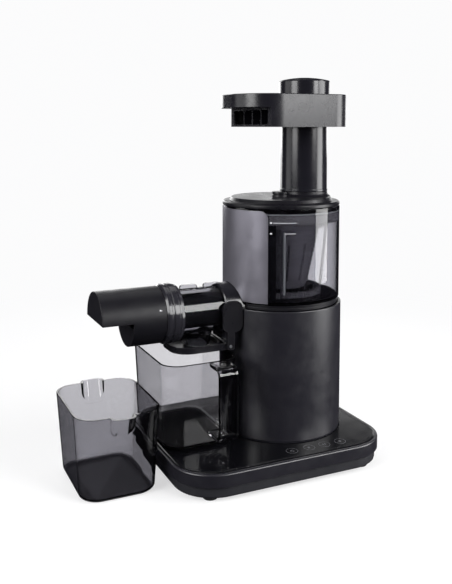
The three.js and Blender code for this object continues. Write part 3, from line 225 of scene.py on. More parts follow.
def mix_colour(nodes, links, factor, first, second):
    mix = nodes.new("ShaderNodeMix")
    mix.data_type = "RGBA"
    for socket, value in ((mix.inputs[0], factor), (mix.inputs[6], first), (mix.inputs[7], second)):
        if isinstance(value, tuple):
            socket.default_value = value
        else:
            links.new(value, socket)
    return mix.outputs[2]


def shade(colour, factor):
    return (*[min(1.0, c * factor) for c in colour], 1.0)


WORN_EDGE = 0.7  # how wide the rubbed edges are
GRAIN_DEPTH = 0.04


def edge_mask(nodes, links, radius):
    """1 along edges that hands and cloths rub, 0 on the flats."""
    bevel = nodes.new("ShaderNodeBevel")
    bevel.samples = 4
    bevel.inputs["Radius"].default_value = radius * MM
    geometry = nodes.new("ShaderNodeNewGeometry")
    dot = nodes.new("ShaderNodeVectorMath")
    dot.operation = "DOT_PRODUCT"
    links.new(bevel.outputs["Normal"], dot.inputs[0])
    links.new(geometry.outputs["Normal"], dot.inputs[1])
    return map_range(nodes, links, dot.outputs["Value"], 0.86, 0.99, 1.0, 0.0)


def finish(name, colour, roughness, grain=0.15, grain_size=0.35, spread=0.12, wear=0.35, mottle=22,
           **sockets):
    """A material with clouded colour, worn edges, uneven polish and a fine surface grain."""
    material = bpy.data.materials.new(name)
    material.use_nodes = True
    nodes, links = material.node_tree.nodes, material.node_tree.links
    shader = nodes["Principled BSDF"]
    place = nodes.new("ShaderNodeTexCoord").outputs["Object"]
    clouds = noise(nodes, links, place, mottle, 4)
    colours = mix_colour(nodes, links, clouds, shade(colour, 1 - spread), shade(colour, 1 + spread))
    specks = noise(nodes, links, place, 1000 / grain_size / 2, 2)
    speckle = map_range(nodes, links, specks, 0.35, 0.7, 0.0, 0.35)
    colours = mix_colour(nodes, links, speckle, colours, shade(colour, 1 + 2.2 * spread))
    if wear:
        rubbed = nodes.new("ShaderNodeMath")
        rubbed.operation = "MULTIPLY"
        links.new(edge_mask(nodes, links, WORN_EDGE), rubbed.inputs[0])
        patches = noise(nodes, links, place, 160, 3)
        links.new(map_range(nodes, links, patches, 0.35, 0.65, 0.2, wear), rubbed.inputs[1])
        bare = shade([c + 0.05 for c in colour], 1.6)
        colours = mix_colour(nodes, links, rubbed.outputs[0], colours, bare)
    links.new(colours, shader.inputs["Base Color"])
    polish = noise(nodes, links, place, 75, 4)
    smoothest, roughest = max(0.01, roughness * 0.86), min(1.0, roughness * 1.14)
    rough = map_range(nodes, links, polish, 0.3, 0.7, smoothest, roughest)
    links.new(rough, shader.inputs["Roughness"])
    bump = nodes.new("ShaderNodeBump")
    bump.inputs["Strength"].default_value = grain
    bump.inputs["Distance"].default_value = GRAIN_DEPTH * MM
    links.new(noise(nodes, links, place, 1000 / grain_size, 3), bump.inputs["Height"])
    links.new(bump.outputs["Normal"], shader.inputs["Normal"])
    for socket, value in sockets.items():
        shader.inputs[socket.replace("_", " ")].default_value = value
    return material


def clear(name, colour, roughness=0.03, **sockets):
    return finish(
        name, colour, roughness, grain=0.05, grain_size=2.5, spread=0.05, wear=0, mottle=12,
        Transmission_Weight=1.0, IOR=1.46, **sockets,
    )


def paint_floor_shade(material, level, depth):
    """Painted shade: darkens a clear vessel's plastic over its lowest millimetres, where its floor is seen
    edge on, and roughens it there.
    """
    nodes, links = material.node_tree.nodes, material.node_tree.links
    shader = nodes["Principled BSDF"]
    colours = shader.inputs["Base Color"].links[0].from_socket
    split = nodes.new("ShaderNodeSeparateXYZ")
    links.new(nodes.new("ShaderNodeTexCoord").outputs["Object"], split.inputs[0])
    start, end = (level + depth) * MM, (level + 2 * depth) * MM
    # painted shade: 1 over the vessel's lowest millimetres, fading to 0 above
    low = map_range(nodes, links, split.outputs["Z"], start, end, 1.0, 0.0)
    links.new(mix_colour(nodes, links, low, colours, VESSEL_FLOOR_SHADE), shader.inputs["Base Color"])
    links.new(map_range(nodes, links, low, 0.0, 1.0, 0.03, 0.45), shader.inputs["Roughness"])
    return material


SMOKE = (0.65, 0.645, 0.67)
DARK_SMOKE = (0.50, 0.495, 0.525)
# painted shade for the clear vessels' lowest millimetres
VESSEL_FLOOR_SHADE = (0.03, 0.029, 0.035, 1.0)
LOOKS = {
    "satin_shell": finish("satin_shell", (0.011, 0.0105, 0.015), 0.36, grain=0.3, Specular_IOR_Level=0.8),
    "satin_cover": finish("satin_cover", (0.25, 0.242, 0.28), 0.34, grain=0.3, Metallic=0.75),
    "gloss_black": finish("gloss_black", (0.009, 0.0087, 0.012), 0.20, grain=0.08, spread=0.2, wear=0.25),
    "deck_gloss": finish("deck_gloss", (0.003, 0.003, 0.004), 0.17, grain=0.03, spread=0.2, wear=0.2,
                         Specular_IOR_Level=0.3),
    "dark_plastic": finish("dark_plastic", (0.020, 0.020, 0.024), 0.5, grain=0.5),
    "smoke_clear": clear("smoke_clear", SMOKE),
    "bowl_clear": clear("bowl_clear", (0.66, 0.655, 0.69)),
    "clear_plastic": clear("clear_plastic", (0.80, 0.80, 0.84)),
    "frosted": finish("frosted", (0.46, 0.45, 0.50), 0.24, grain=0.3, wear=0,
                      Transmission_Weight=0.72, IOR=1.46),
    "tube_clear": clear("tube_clear", (0.55, 0.545, 0.58), 0.05),
    "ring_smoke": finish("ring_smoke", (0.018, 0.0175, 0.022), 0.16, grain=0.05, spread=0.2),
    "satin_black": finish("satin_black", (0.007, 0.0067, 0.009), 0.30, grain=0.2, spread=0.15,
                          Specular_IOR_Level=0.35),
    "nozzle_black": finish("nozzle_black", (0.006, 0.0057, 0.008), 0.42, grain=0.25, spread=0.15,
                           Specular_IOR_Level=0.25),
    "tray_black": finish("tray_black", (0.010, 0.0096, 0.013), 0.26, grain=0.15, spread=0.15),
    "rubber": finish("rubber", (0.016, 0.016, 0.018), 0.8, grain=0.7, spread=0.25),
    "silicone": finish("silicone", (0.28, 0.29, 0.31), 0.6, grain=0.3, wear=0),
    "grey_plastic": finish("grey_plastic", (0.10, 0.10, 0.115), 0.42, grain=0.4),
    "steel": finish("steel", (0.55, 0.56, 0.58), 0.3, grain=0.3, Metallic=1.0),
    "brass": finish("brass", (0.55, 0.40, 0.16), 0.34, grain=0.3, Metallic=1.0),
    "board": finish("board", (0.02, 0.09, 0.04), 0.5, grain=0.4),
    "print": finish("print", (0.75, 0.75, 0.78), 0.6, grain=0.1, wear=0),
    "print_grey": finish("print_grey", (0.10, 0.10, 0.11), 0.5, grain=0.1, wear=0),
}


# ---- mesh building -------------------------------------------------------------------------------------
def box_of(node):
    """x0, y0, z0, x1, y1, z1 of a CAD node, in millimetres."""
    low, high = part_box(node)
    return [v / MM for v in (*low, *high)]


def new_mesh(name, points, faces):
    mesh = bmesh.new()
    made = [mesh.verts.new((x * MM, y * MM, z * MM)) for x, y, z in points]
    for face in faces:
        if len(set(face)) > 2:
            mesh.faces.new([made[i] for i in face])
    bmesh.ops.remove_doubles(mesh, verts=mesh.verts, dist=1e-6)
    bmesh.ops.dissolve_degenerate(mesh, edges=mesh.edges, dist=1e-7)
    bmesh.ops.recalc_face_normals(mesh, faces=mesh.faces)
    data = bpy.data.meshes.new(name)
    mesh.to_mesh(data)
    mesh.free()
    made = bpy.data.objects.new(name, data)
    bpy.context.scene.collection.objects.link(made)
    return made


def skin(rings, looped=False):
    """A closed skin over rings of points; the first and last are capped, or joined where looped."""
    count = len(rings[0])
    points = [p for ring in rings for p in ring]
    faces = []
    steps = len(rings) if looped else len(rings) - 1
    for a in range(steps):
        b = (a + 1) % len(rings)
        for i in range(count):
            j = (i + 1) % count
            faces.append((a * count + i, a * count + j, b * count + j, b * count + i))
    if not looped:
        last = (len(rings) - 1) * count
        faces.append(tuple(range(count))[::-1])
        faces.append(tuple(range(last, last + count)))
    return new_mesh("raw", points, faces)


def eased(profile, radius, steps=3, closed=True):
    """The profile with its corners rounded; a corner keeps within half of the edges beside it."""
    out = []
    count = len(profile)
    for i, corner in enumerate(profile):
        if not closed and i in (0, count - 1):
            out.append(corner)
            continue
        here = Vector(corner)
        before = Vector(profile[i - 1]) - here
        after = Vector(profile[(i + 1) % count]) - here
        if before.length < 1e-6 or after.length < 1e-6 or corner[0] < 1e-6:
            out.append(corner)
            continue
        angle = before.angle(after)
        if angle > math.radians(165):
            out.append(corner)
            continue
        back = min(radius / math.tan(angle / 2), 0.45 * before.length, 0.45 * after.length)
        start, end = here + before.normalized() * back, here + after.normalized() * back
        for s in range(steps + 1):
            t = s / steps
            point = (1 - t) ** 2 * start + 2 * t * (1 - t) * here + t * t * end
            out.append((point.x, point.y))
    return out


def circle(facets):
    """The angles of a circle's points."""
    return [2 * math.pi * i / facets for i in range(facets)]


def turned(profile, x, y=0.0, facets=FINE, ease=0.4):
    """A body turned about a vertical axis from a closed profile of (radius, height)."""
    turns = circle(facets)
    shape = eased(profile, ease) if ease else profile
    rings = [[(x + r * math.cos(a), y + r * math.sin(a), z) for a in turns] for r, z in shape]
    return skin(rings, looped=True)


def turned_along_x(profile, y, z, facets=FINE, ease=0.4):
    """A body turned about a level axis from a closed profile of (radius, x)."""
    turns = circle(facets)
    shape = eased(profile, ease) if ease else profile
    rings = [[(x, y + r * math.cos(a), z + r * math.sin(a)) for a in turns] for r, x in shape]
    return skin(rings, looped=True)


def rod_x(radius, x0, x1, z, y=0.0, facets=FINE, ease=0.0):
    return turned_along_x([(0, x0), (radius, x0), (radius, x1), (0, x1)], y, z, facets, ease)


def pipe_x(bore, radius, x0, x1, z):
    return turned_along_x([(bore, x0), (radius, x0), (radius, x1), (bore, x1)], 0, z, ease=0.3)


def rod_y(radius, y0, y1, x, z, facets=SMALL):
    turns = circle(facets)
    return skin([[(x + radius * math.cos(a), y, z + radius * math.sin(a)) for a in turns] for y in (y0, y1)])


def disc(radius, z0, z1, x, y=0.0, facets=FINE, ease=0.0):
    return turned([(0, z0), (radius, z0), (radius, z1), (0, z1)], x, y, facets, ease)


def block(x0, x1, y0, y1, z0, z1):
    corners = [(x0, y0), (x1, y0), (x1, y1), (x0, y1)]
    return skin([[(x, y, z) for x, y in corners] for z in (z0, z1)])


def outline(x0, x1, y0, y1, radii, steps=12):
    """A rectangle with rounded corners, anticlockwise from its lower left corner."""
    radii = [radii] * 4 if isinstance(radii, (int, float)) else radii
    spots = [(x0, y0, 1, 1, 180), (x1, y0, -1, 1, 270), (x1, y1, -1, -1, 0), (x0, y1, 1, -1, 90)]
    points = []
    for (x, y, sx, sy, start), r in zip(spots, radii):
        r = max(r, 0.05)
        for s in range(steps + 1):
            a = math.radians(start + 90 * s / steps)
            points.append((x + sx * r + r * math.cos(a), y + sy * r + r * math.sin(a)))
    return points


def prism(points, z0, z1):
    """An upright body over an outline."""
    return skin([[(x, y, z) for x, y in points] for z in (z0, z1)])


def swept(outline_at, profile, looped=False):
    """A body whose section at each height is an outline; the profile is (inset, height)."""
    return skin([[(x, y, z) for x, y in outline_at(inset)] for inset, z in profile], looped)


def standing(points, y0, y1):
    """A body whose outline lies in x and z, from y0 to y1."""
    return skin([[(x, y, z) for x, z in points] for y in (y0, y1)])


def sector(inner, outer, z0, z1, start, end, x, steps=96):
    """Part of a ring between two angles in degrees."""
    corners = [(inner, z0), (outer, z0), (outer, z1), (inner, z1)]
    rings = []
    for s in range(steps + 1):
        a = math.radians(start + (end - start) * s / steps)
        rings.append([(x + r * math.cos(a), r * math.sin(a), z) for r, z in corners])
    return skin(rings)


def settle(made):
    """Replaces an object's mesh with what its modifiers make of it."""
    graph = bpy.context.evaluated_depsgraph_get()
    mesh = bpy.data.meshes.new_from_object(made.evaluated_get(graph))
    made.modifiers.clear()
    old = made.data
    made.data = mesh
    bpy.data.meshes.remove(old)
    return made


def combine(target, others, operation):
    for other in others:
        modifier = target.modifiers.new("boolean", "BOOLEAN")
        modifier.operation = operation
        modifier.solver = "MANIFOLD"
        modifier.object = other
    settle(target)
    for other in others:
        bpy.data.objects.remove(other)
    return target


def cut(target, *others):
    return combine(target, others, "DIFFERENCE")


def join(target, *others):
    return combine(target, others, "UNION")


def common(target, *others):
    return combine(target, others, "INTERSECT")


def tidy(made):
    """Merges points that coincide and faces that lie in one plane, so that a bevel runs evenly."""
    mesh = bmesh.new()
    mesh.from_mesh(made.data)
    bmesh.ops.remove_doubles(mesh, verts=mesh.verts, dist=4e-6)
    bmesh.ops.dissolve_limit(mesh, angle_limit=math.radians(0.5), verts=mesh.verts, edges=mesh.edges)
    mesh.to_mesh(made.data)
    mesh.free()
    return made


def piece(made, name, body, slot, look=None, nodes=None, bevel=0.0, segments=2, angle=35):
    """Names, eases, paints and places a finished body."""
    made.name = name
    made.data.name = name
    if bevel:
        tidy(made)
        modifier = made.modifiers.new("bevel", "BEVEL")
        modifier.width = bevel * MM
        modifier.segments = segments
        modifier.limit_method = "ANGLE"
        modifier.angle_limit = math.radians(angle)
        modifier.use_clamp_overlap = True
        settle(made)
    made.data.shade_smooth()
    made.data.set_sharp_from_angle(angle=math.radians(angle))
    weighted = made.modifiers.new("normals", "WEIGHTED_NORMAL")
    weighted.keep_sharp = True
    settle(made)
    made.data.materials.clear()
    made.data.materials.append(LOOKS[look or slot])
    for polygon in made.data.polygons:
        polygon.material_index = 0
    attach(made, body)
    if nodes is None:
        nodes = [name.removesuffix("_body")]
    if nodes:
        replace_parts(made, *nodes)
    return made


# ---- places taken from the frame -----------------------------------------------------------------------
HX0, _, HOUSE_BOTTOM, HX1, _, HOUSE_TOP = box_of("motor_housing")
AXIS = (HX0 + HX1) / 2
HOUSE = (HX1 - HX0) / 2


def at(x):
    """An x measured from the juicer's upright axis."""
    return AXIS + x


# ---- base ----------------------------------------------------------------------------------------------
BX0, BY0, BAND_BOTTOM, BX1, BY1, BAND_TOP = box_of("base_shell")
PAN_Z0, PAN_Z1 = box_of("base_pan")[2], box_of("base_pan")[5]
BASE_CORNER = 47.0
SKIRT_INSET = 3.1
DECK_INSET = 3.5
SHELL_BOTTOM = 16.3
LEDGE = 25.0  # where the band's wall steps back for the deck
BAND_WALL = 3.0


def base_outline(inset):
    return outline(BX0 + inset, BX1 - inset, BY0 + inset, BY1 - inset, BASE_CORNER - inset, 16)


def make_base():
    band = swept(
        base_outline,
        [(0.5, SHELL_BOTTOM), (0.0, SHELL_BOTTOM + 0.6), (0.0, BAND_TOP - 1.6), (0.15, BAND_TOP - 0.9),
         (0.55, BAND_TOP - 0.35), (1.2, BAND_TOP), (DECK_INSET - 0.4, BAND_TOP), (DECK_INSET, BAND_TOP - 0.4),
         (DECK_INSET, LEDGE), (BAND_WALL, LEDGE - 0.4), (BAND_WALL, SHELL_BOTTOM)],
        looped=True,
    )
    gland = box_of("cord_gland")
    gland_x, gland_z = (gland[0] + gland[3]) / 2, (gland[2] + gland[5]) / 2
    band = cut(band, rod_y((gland[3] - gland[0]) / 2 + GAP, gland[1] - 1, gland[4] + 4, gland_x, gland_z))
    piece(band, "base_band", "base", "satin_shell", nodes=["base_shell"], bevel=0)
    tub = swept(
        base_outline,
        [(SKIRT_INSET + 2.2, PAN_Z0), (SKIRT_INSET + 1.0, PAN_Z0 + 0.3), (SKIRT_INSET + 0.3, PAN_Z0 + 1.0),
         (SKIRT_INSET, PAN_Z0 + 2.2), (SKIRT_INSET, PAN_Z1 - 1.2), (SKIRT_INSET + 0.6, PAN_Z1 - 0.6),
         (SKIRT_INSET + 0.6, PAN_Z1), (SKIRT_INSET + WALL, PAN_Z1), (SKIRT_INSET + WALL, PAN_Z0 + 2.9),
         (SKIRT_INSET + WALL + 0.4, PAN_Z0 + WALL)],
    )
    vents = [block(at(x - 1.5), at(x + 1.5), -23, 23, PAN_Z0 - CUT, PAN_Z0 + WALL + CUT)
             for x in (-22.5, -13.5, -4.5, 4.5, 13.5, 22.5)]
    holes = []
    for number in range(1, 5):
        screw = box_of(f"base_screw_{number}")
        x, y = (screw[0] + screw[3]) / 2, (screw[1] + screw[4]) / 2
        holes.append(disc(1.9, PAN_Z0 - CUT, PAN_Z0 + WALL + CUT, x, y, SMALL))
    piece(cut(tub, *vents, *holes), "base_tub", "base", "dark_plastic", nodes=["base_pan"], bevel=0.25)
    for number in range(1, 5):
        x0, y0, z0, x1, y1, z1 = box_of(f"foot_{number}")
        x, y, r = (x0 + x1) / 2, (y0 + y1) / 2, (x1 - x0) / 2
        foot = turned([(0, z0 + 0.5), (r * 0.62, z0 + 0.5), (r * 0.66, z0), (r - 0.5, z0), (r, z0 + 0.8),
                       (r, z1 - 1.4), (r - 0.5, z1 - 1.1), (r - 0.5, z1), (0, z1)], x, y, MEDIUM, 0.25)
        piece(foot, f"rubber_foot_{number}", "base", "rubber", nodes=[f"foot_{number}"])
    top = box_of("deck_panel")[5]
    edge = DECK_INSET + GAP
    deck = swept(
        base_outline,
        [(edge, HOUSE_BOTTOM), (edge, top - 0.9), (edge + 0.25, top - 0.55), (edge + 1.3, top - 0.08),
         (edge + 1.6, top)],
    )
    groove = swept(base_outline, [(edge + 3.4, top - 0.35), (edge + 3.3, top + 1), (edge + 3.9, top + 1),
                                  (edge + 3.8, top - 0.35)], looped=True)
    hole = disc(HOUSE + GAP, HOUSE_BOTTOM - CUT, top + CUT, AXIS)
    piece(cut(deck, groove, hole), "deck_glass", "base", "gloss_black", "deck_gloss", nodes=["deck_panel"],
          bevel=0.12)
    return top


TOUCH_X = (-30.8, -9.8, 9.2, 29.2)
TOUCH_Y = -84.0
TOUCH_RADIUS = 6.4
PRINT = 0.06  # thickness


def make_touch_marks(top):
    """Printed rings with plain signs in them: a bar over a ring, a triangle, two bars and a dot."""
    z0, z1 = top + 0.01, top + PRINT
    marks = []
    for x in TOUCH_X:
        marks.append(turned([(TOUCH_RADIUS - 0.45, z0), (TOUCH_RADIUS, z0), (TOUCH_RADIUS, z1),
                             (TOUCH_RADIUS - 0.45, z1)], at(x), TOUCH_Y, MEDIUM, 0))
    first, second, third, fourth = [at(x) for x in TOUCH_X]
    y = TOUCH_Y
    marks.append(block(first - 0.3, first + 0.3, y - 0.4, y + 2.4, z0, z1))
    marks.append(turned([(1.7, z0), (2.2, z0), (2.2, z1), (1.7, z1)], first, y - 0.4, SMALL, 0))
    marks.append(prism([(second - 1.5, y - 2), (second + 2.2, y), (second - 1.5, y + 2)], z0, z1))
    for shift in (-1.2, 1.2):
        marks.append(block(third + shift - 0.4, third + shift + 0.4, y - 2, y + 2, z0, z1))
    marks.append(disc(1.6, z0, z1, fourth, y, SMALL))
    for number, mark in enumerate(marks, 1):
        piece(mark, f"touch_mark_{number}", "base", "grey_plastic", "print_grey", nodes=[])


# ---- motor housing -------------------------------------------------------------------------------------
SNOUT_BOX = box_of("snout_tube")
SNOUT_RADIUS = (SNOUT_BOX[4] - SNOUT_BOX[1]) / 2
SNOUT_Z = SNOUT_BOX[2] + SNOUT_RADIUS
SNOUT_WALL = 2.0
NECK_BOX = box_of("outlet_neck")
NECK_RADIUS = (NECK_BOX[4] - NECK_BOX[1]) / 2
NECK_END = NECK_BOX[0]
HOUSE_WALL = 3.0
BAND_BORE = 59.0  # the joint ring's inner radius


def neck_slot(clearance, top):
    """The room for the outlet neck in the housing's left side: a round bed, open upwards."""
    radius = NECK_RADIUS + clearance
    left, right = at(-HOUSE - CUT), at(-HOUSE / 2)
    return [rod_x(radius, left, right, SNOUT_Z), block(left, right, -radius, radius, SNOUT_Z, top + CUT)]


def make_housing():
    inner = HOUSE - HOUSE_WALL
    ledge = box_of("gearbox_base")[2] - GAP
    foot = HOUSE - 0.8
    wall = turned([(foot, HOUSE_BOTTOM), (foot, HOUSE_BOTTOM + 3.2), (HOUSE, HOUSE_BOTTOM + 3.8),
                   (HOUSE, HOUSE_TOP), (inner, HOUSE_TOP), (inner, ledge), (inner - 4, ledge),
                   (inner, ledge - 4), (inner, HOUSE_BOTTOM)], AXIS, ease=0.7)
    column = cut(wall, *neck_slot(1, HOUSE_TOP))
    piece(column, "housing_column", "base", "satin_shell", nodes=["motor_housing"])
    x0, _, z0, x1, _, z1 = box_of("joint_ring")
    radius = (x1 - x0) / 2
    middle = (z0 + z1) / 2
    band = turned([(BAND_BORE, z0), (radius, z0), (radius, middle - 0.5), (radius - 0.7, middle - 0.2),
                   (radius - 0.7, middle + 0.2), (radius, middle + 0.5), (radius, z1), (BAND_BORE, z1)],
                  AXIS, ease=0.35)
    band = cut(band, *neck_slot(1, z1))
    piece(band, "joint_band", "base", "dark_plastic", "nozzle_black", nodes=["joint_ring"])


# ---- bowl ----------------------------------------------------------------------------------------------
X0, _, WELL_BOTTOM, X1, _, BOWL_TOP = box_of("bowl")
BOWL = (X1 - X0) / 2
BOWL_BOTTOM = box_of("bowl_cover")[2] - 1.3
BOWL_INNER = BOWL - WALL
BOWL_FLOOR = BOWL_BOTTOM + 3
WELL = HOUSE - 11.3
HUB = 10.3
IDLER_POST = 3.0
PULP_PORT, PULP_PORT_X = 9.0, -29.0
WINDOW_FROM, WINDOW_TO = -130.0, 46.0  # degrees from +X
WINDOW_CORNER = 9.0  # radius of its upper corners
COVER_WALL = 1.5


def spun(made, angle):
    """Turns a cutter, made about the origin, by an angle in degrees and sets it on the axis."""
    turn = math.radians(angle)
    for vertex in made.data.vertices:
        x, y = vertex.co.x, vertex.co.y
        vertex.co.x = AXIS * MM + x * math.cos(turn) - y * math.sin(turn)
        vertex.co.y = x * math.sin(turn) + y * math.cos(turn)
    return made


def make_bowl():
    shell = turned([
        (HUB, WELL_BOTTOM), (WELL, WELL_BOTTOM), (WELL, BOWL_BOTTOM), (BOWL, BOWL_BOTTOM), (BOWL, BOWL_TOP),
        (BOWL_INNER, BOWL_TOP), (BOWL_INNER, BOWL_FLOOR), (HUB + PLAY, BOWL_FLOOR), (HUB + PLAY, BOWL_BOTTOM),
        (WELL - WALL, BOWL_BOTTOM), (WELL - WALL, WELL_BOTTOM + WALL), (HUB + WALL, WELL_BOTTOM + WALL),
        (HUB + WALL, WELL_BOTTOM + 4 * WALL), (HUB, WELL_BOTTOM + 4 * WALL)], AXIS, ease=0.25)
    idler = box_of("idler_gear")
    idler_x = (idler[0] + idler[3]) / 2
    post = disc(IDLER_POST, BOWL_FLOOR - GAP, idler[5], idler_x, 0, SMALL)
    recess = sector(BOWL - COVER_WALL - GAP, BOWL + CUT, BOWL_BOTTOM + 1, BOWL_TOP + CUT,
                    WINDOW_TO, WINDOW_FROM + 360, AXIS)
    port = disc(PULP_PORT, BOWL_BOTTOM - CUT, BOWL_FLOOR + CUT, at(PULP_PORT_X), 0, SMALL)
    bore = rod_x(SNOUT_RADIUS - SNOUT_WALL, at(-BOWL - CUT), at(-WELL + 3 * WALL), SNOUT_Z)
    shell = cut(join(shell, post), recess, port, bore)
    piece(shell, "bowl_shell", "bowl", "smoke_clear", "bowl_clear", nodes=["bowl"])
    x0, _, z0, _, _, z1 = box_of("bowl_cover")
    cover = sector(BOWL - COVER_WALL, BOWL, z0, z1, WINDOW_TO + 0.5, WINDOW_FROM + 360 - 0.5, AXIS)
    cover = cut(cover, rod_x(NECK_RADIUS + GAP, at(-HOUSE - CUT), at(-HOUSE / 2), SNOUT_Z))
    corner = WINDOW_CORNER
    for angle, side in ((WINDOW_FROM - 0.5, -1), (WINDOW_TO + 0.5, 1)):
        y0, y1 = (-corner, CUT) if side < 0 else (-CUT, corner)
        tool = spun(block(BOWL - 6, BOWL + 4, y0, y1, z1 - corner, z1 + CUT), angle)
        turn = angle + side * math.degrees(corner / BOWL)
        rounding = rod_x(corner, BOWL - 7, BOWL + 5, z1 - corner, facets=MEDIUM)
        cover = cut(cover, cut(tool, spun(rounding, turn)))
    piece(cover, "cover_shell", "bowl", "satin_cover", nodes=["bowl_cover"], bevel=0.35, segments=3)


# Height above the table, where the line starts in degrees from +X, and its length.
MARKS = ((271.0, -125.6, 25.0), (259.5, -115.0, 12.0))
TICK_ANGLE = -128.6
STRIP_END = -123.0


def make_window_marks():
    """Two fill lines on the window with a plain tick beside each."""
    radius = BOWL + 0.02
    number = 0
    for height, start, length in MARKS:
        for first, long, thick in ((TICK_ANGLE, 2.2, 1.6), (start, length, 0.5)):
            number += 1
            span = math.degrees(long / radius)
            mark = sector(radius, radius + PRINT, height - thick / 2, height + thick / 2,
                          first, first + span, AXIS, 24)
            piece(mark, f"window_mark_{number}", "bowl", "clear_plastic", "print", nodes=[])
    strip = sector(BOWL_INNER - PRINT, BOWL_INNER - 0.02, BOWL_FLOOR + 1, BOWL_TOP - 7,
                   WINDOW_FROM - 3, STRIP_END, AXIS, 24)
    piece(strip, "window_strip", "bowl", "dark_plastic", "gloss_black", nodes=[])


# ---- strainer, wiper and screw -------------------------------------------------------------------------
def make_strainer():
    x0, _, z0, x1, _, z1 = box_of("strainer_basket")
    rim = (x1 - x0) / 2
    top, bottom, wall = BOWL_INNER - 19.3, 29.5, 1.8
    flange = BOWL_TOP - 17
    shell = turned([(16, z0), (bottom, z0), (top, flange), (rim, flange), (rim, z1), (rim - wall, z1),
                    (rim - wall, flange + wall), (top - wall, flange + wall), (bottom - wall, z0 + wall),
                    (16, z0 + wall)], AXIS, ease=0.4)
    slots = []
    for i in range(12):
        low, high = z0 + (flange - z0) * 0.125, z0 + (flange - z0) * 0.675
        slots.append(spun(block(23, 23 + top, -1.2, 1.2, low, high), (i + 0.5) * 30))
    piece(cut(shell, *slots), "strainer", "bowl", "clear_plastic", "frosted", nodes=["strainer_basket"])
    net = []
    for i in range(13):
        share = i / 12
        z = z0 + 8 + share * (flange - z0 - 12)
        r = bottom + (top - bottom) * (z - z0) / (flange - z0)
        net.append(turned([(r + 0.1, z - 0.5), (r + 0.9, z - 0.5), (r + 0.9, z + 0.5), (r + 0.1, z + 0.5)],
                          AXIS, facets=96, ease=0.2))
    piece(join(*net), "strainer_hoops", "bowl", "clear_plastic", "frosted", nodes=[])


def cad_copy(node, name, body, slot, bevel=0.2, look=None, angle=35):
    """A CAD node's own shape as a new piece, with its edges eased."""
    source = frame["nodes"][node]
    made = bpy.data.objects.new(name, source.data.copy())
    bpy.context.scene.collection.objects.link(made)
    return piece(made, name, body, slot, look, nodes=[node], bevel=bevel, angle=angle)


# ---- outlet --------------------------------------------------------------------------------------------
RING_BOX = box_of("lock_ring")
NOZZLE_BOX = box_of("pulp_nozzle")
DRUM_BOX = box_of("pulp_drum")
NOZZLE = (NOZZLE_BOX[4] - NOZZLE_BOX[1]) / 2
RING = (RING_BOX[4] - RING_BOX[1]) / 2
HOOD_END, NOZZLE_START = NOZZLE_BOX[0], NOZZLE_BOX[3]
NOZZLE_SHORT = 33.4  # how much further the hood reaches than the lower half
ARROW_TURN = 70  # degrees from the nozzle's top to its printed arrow


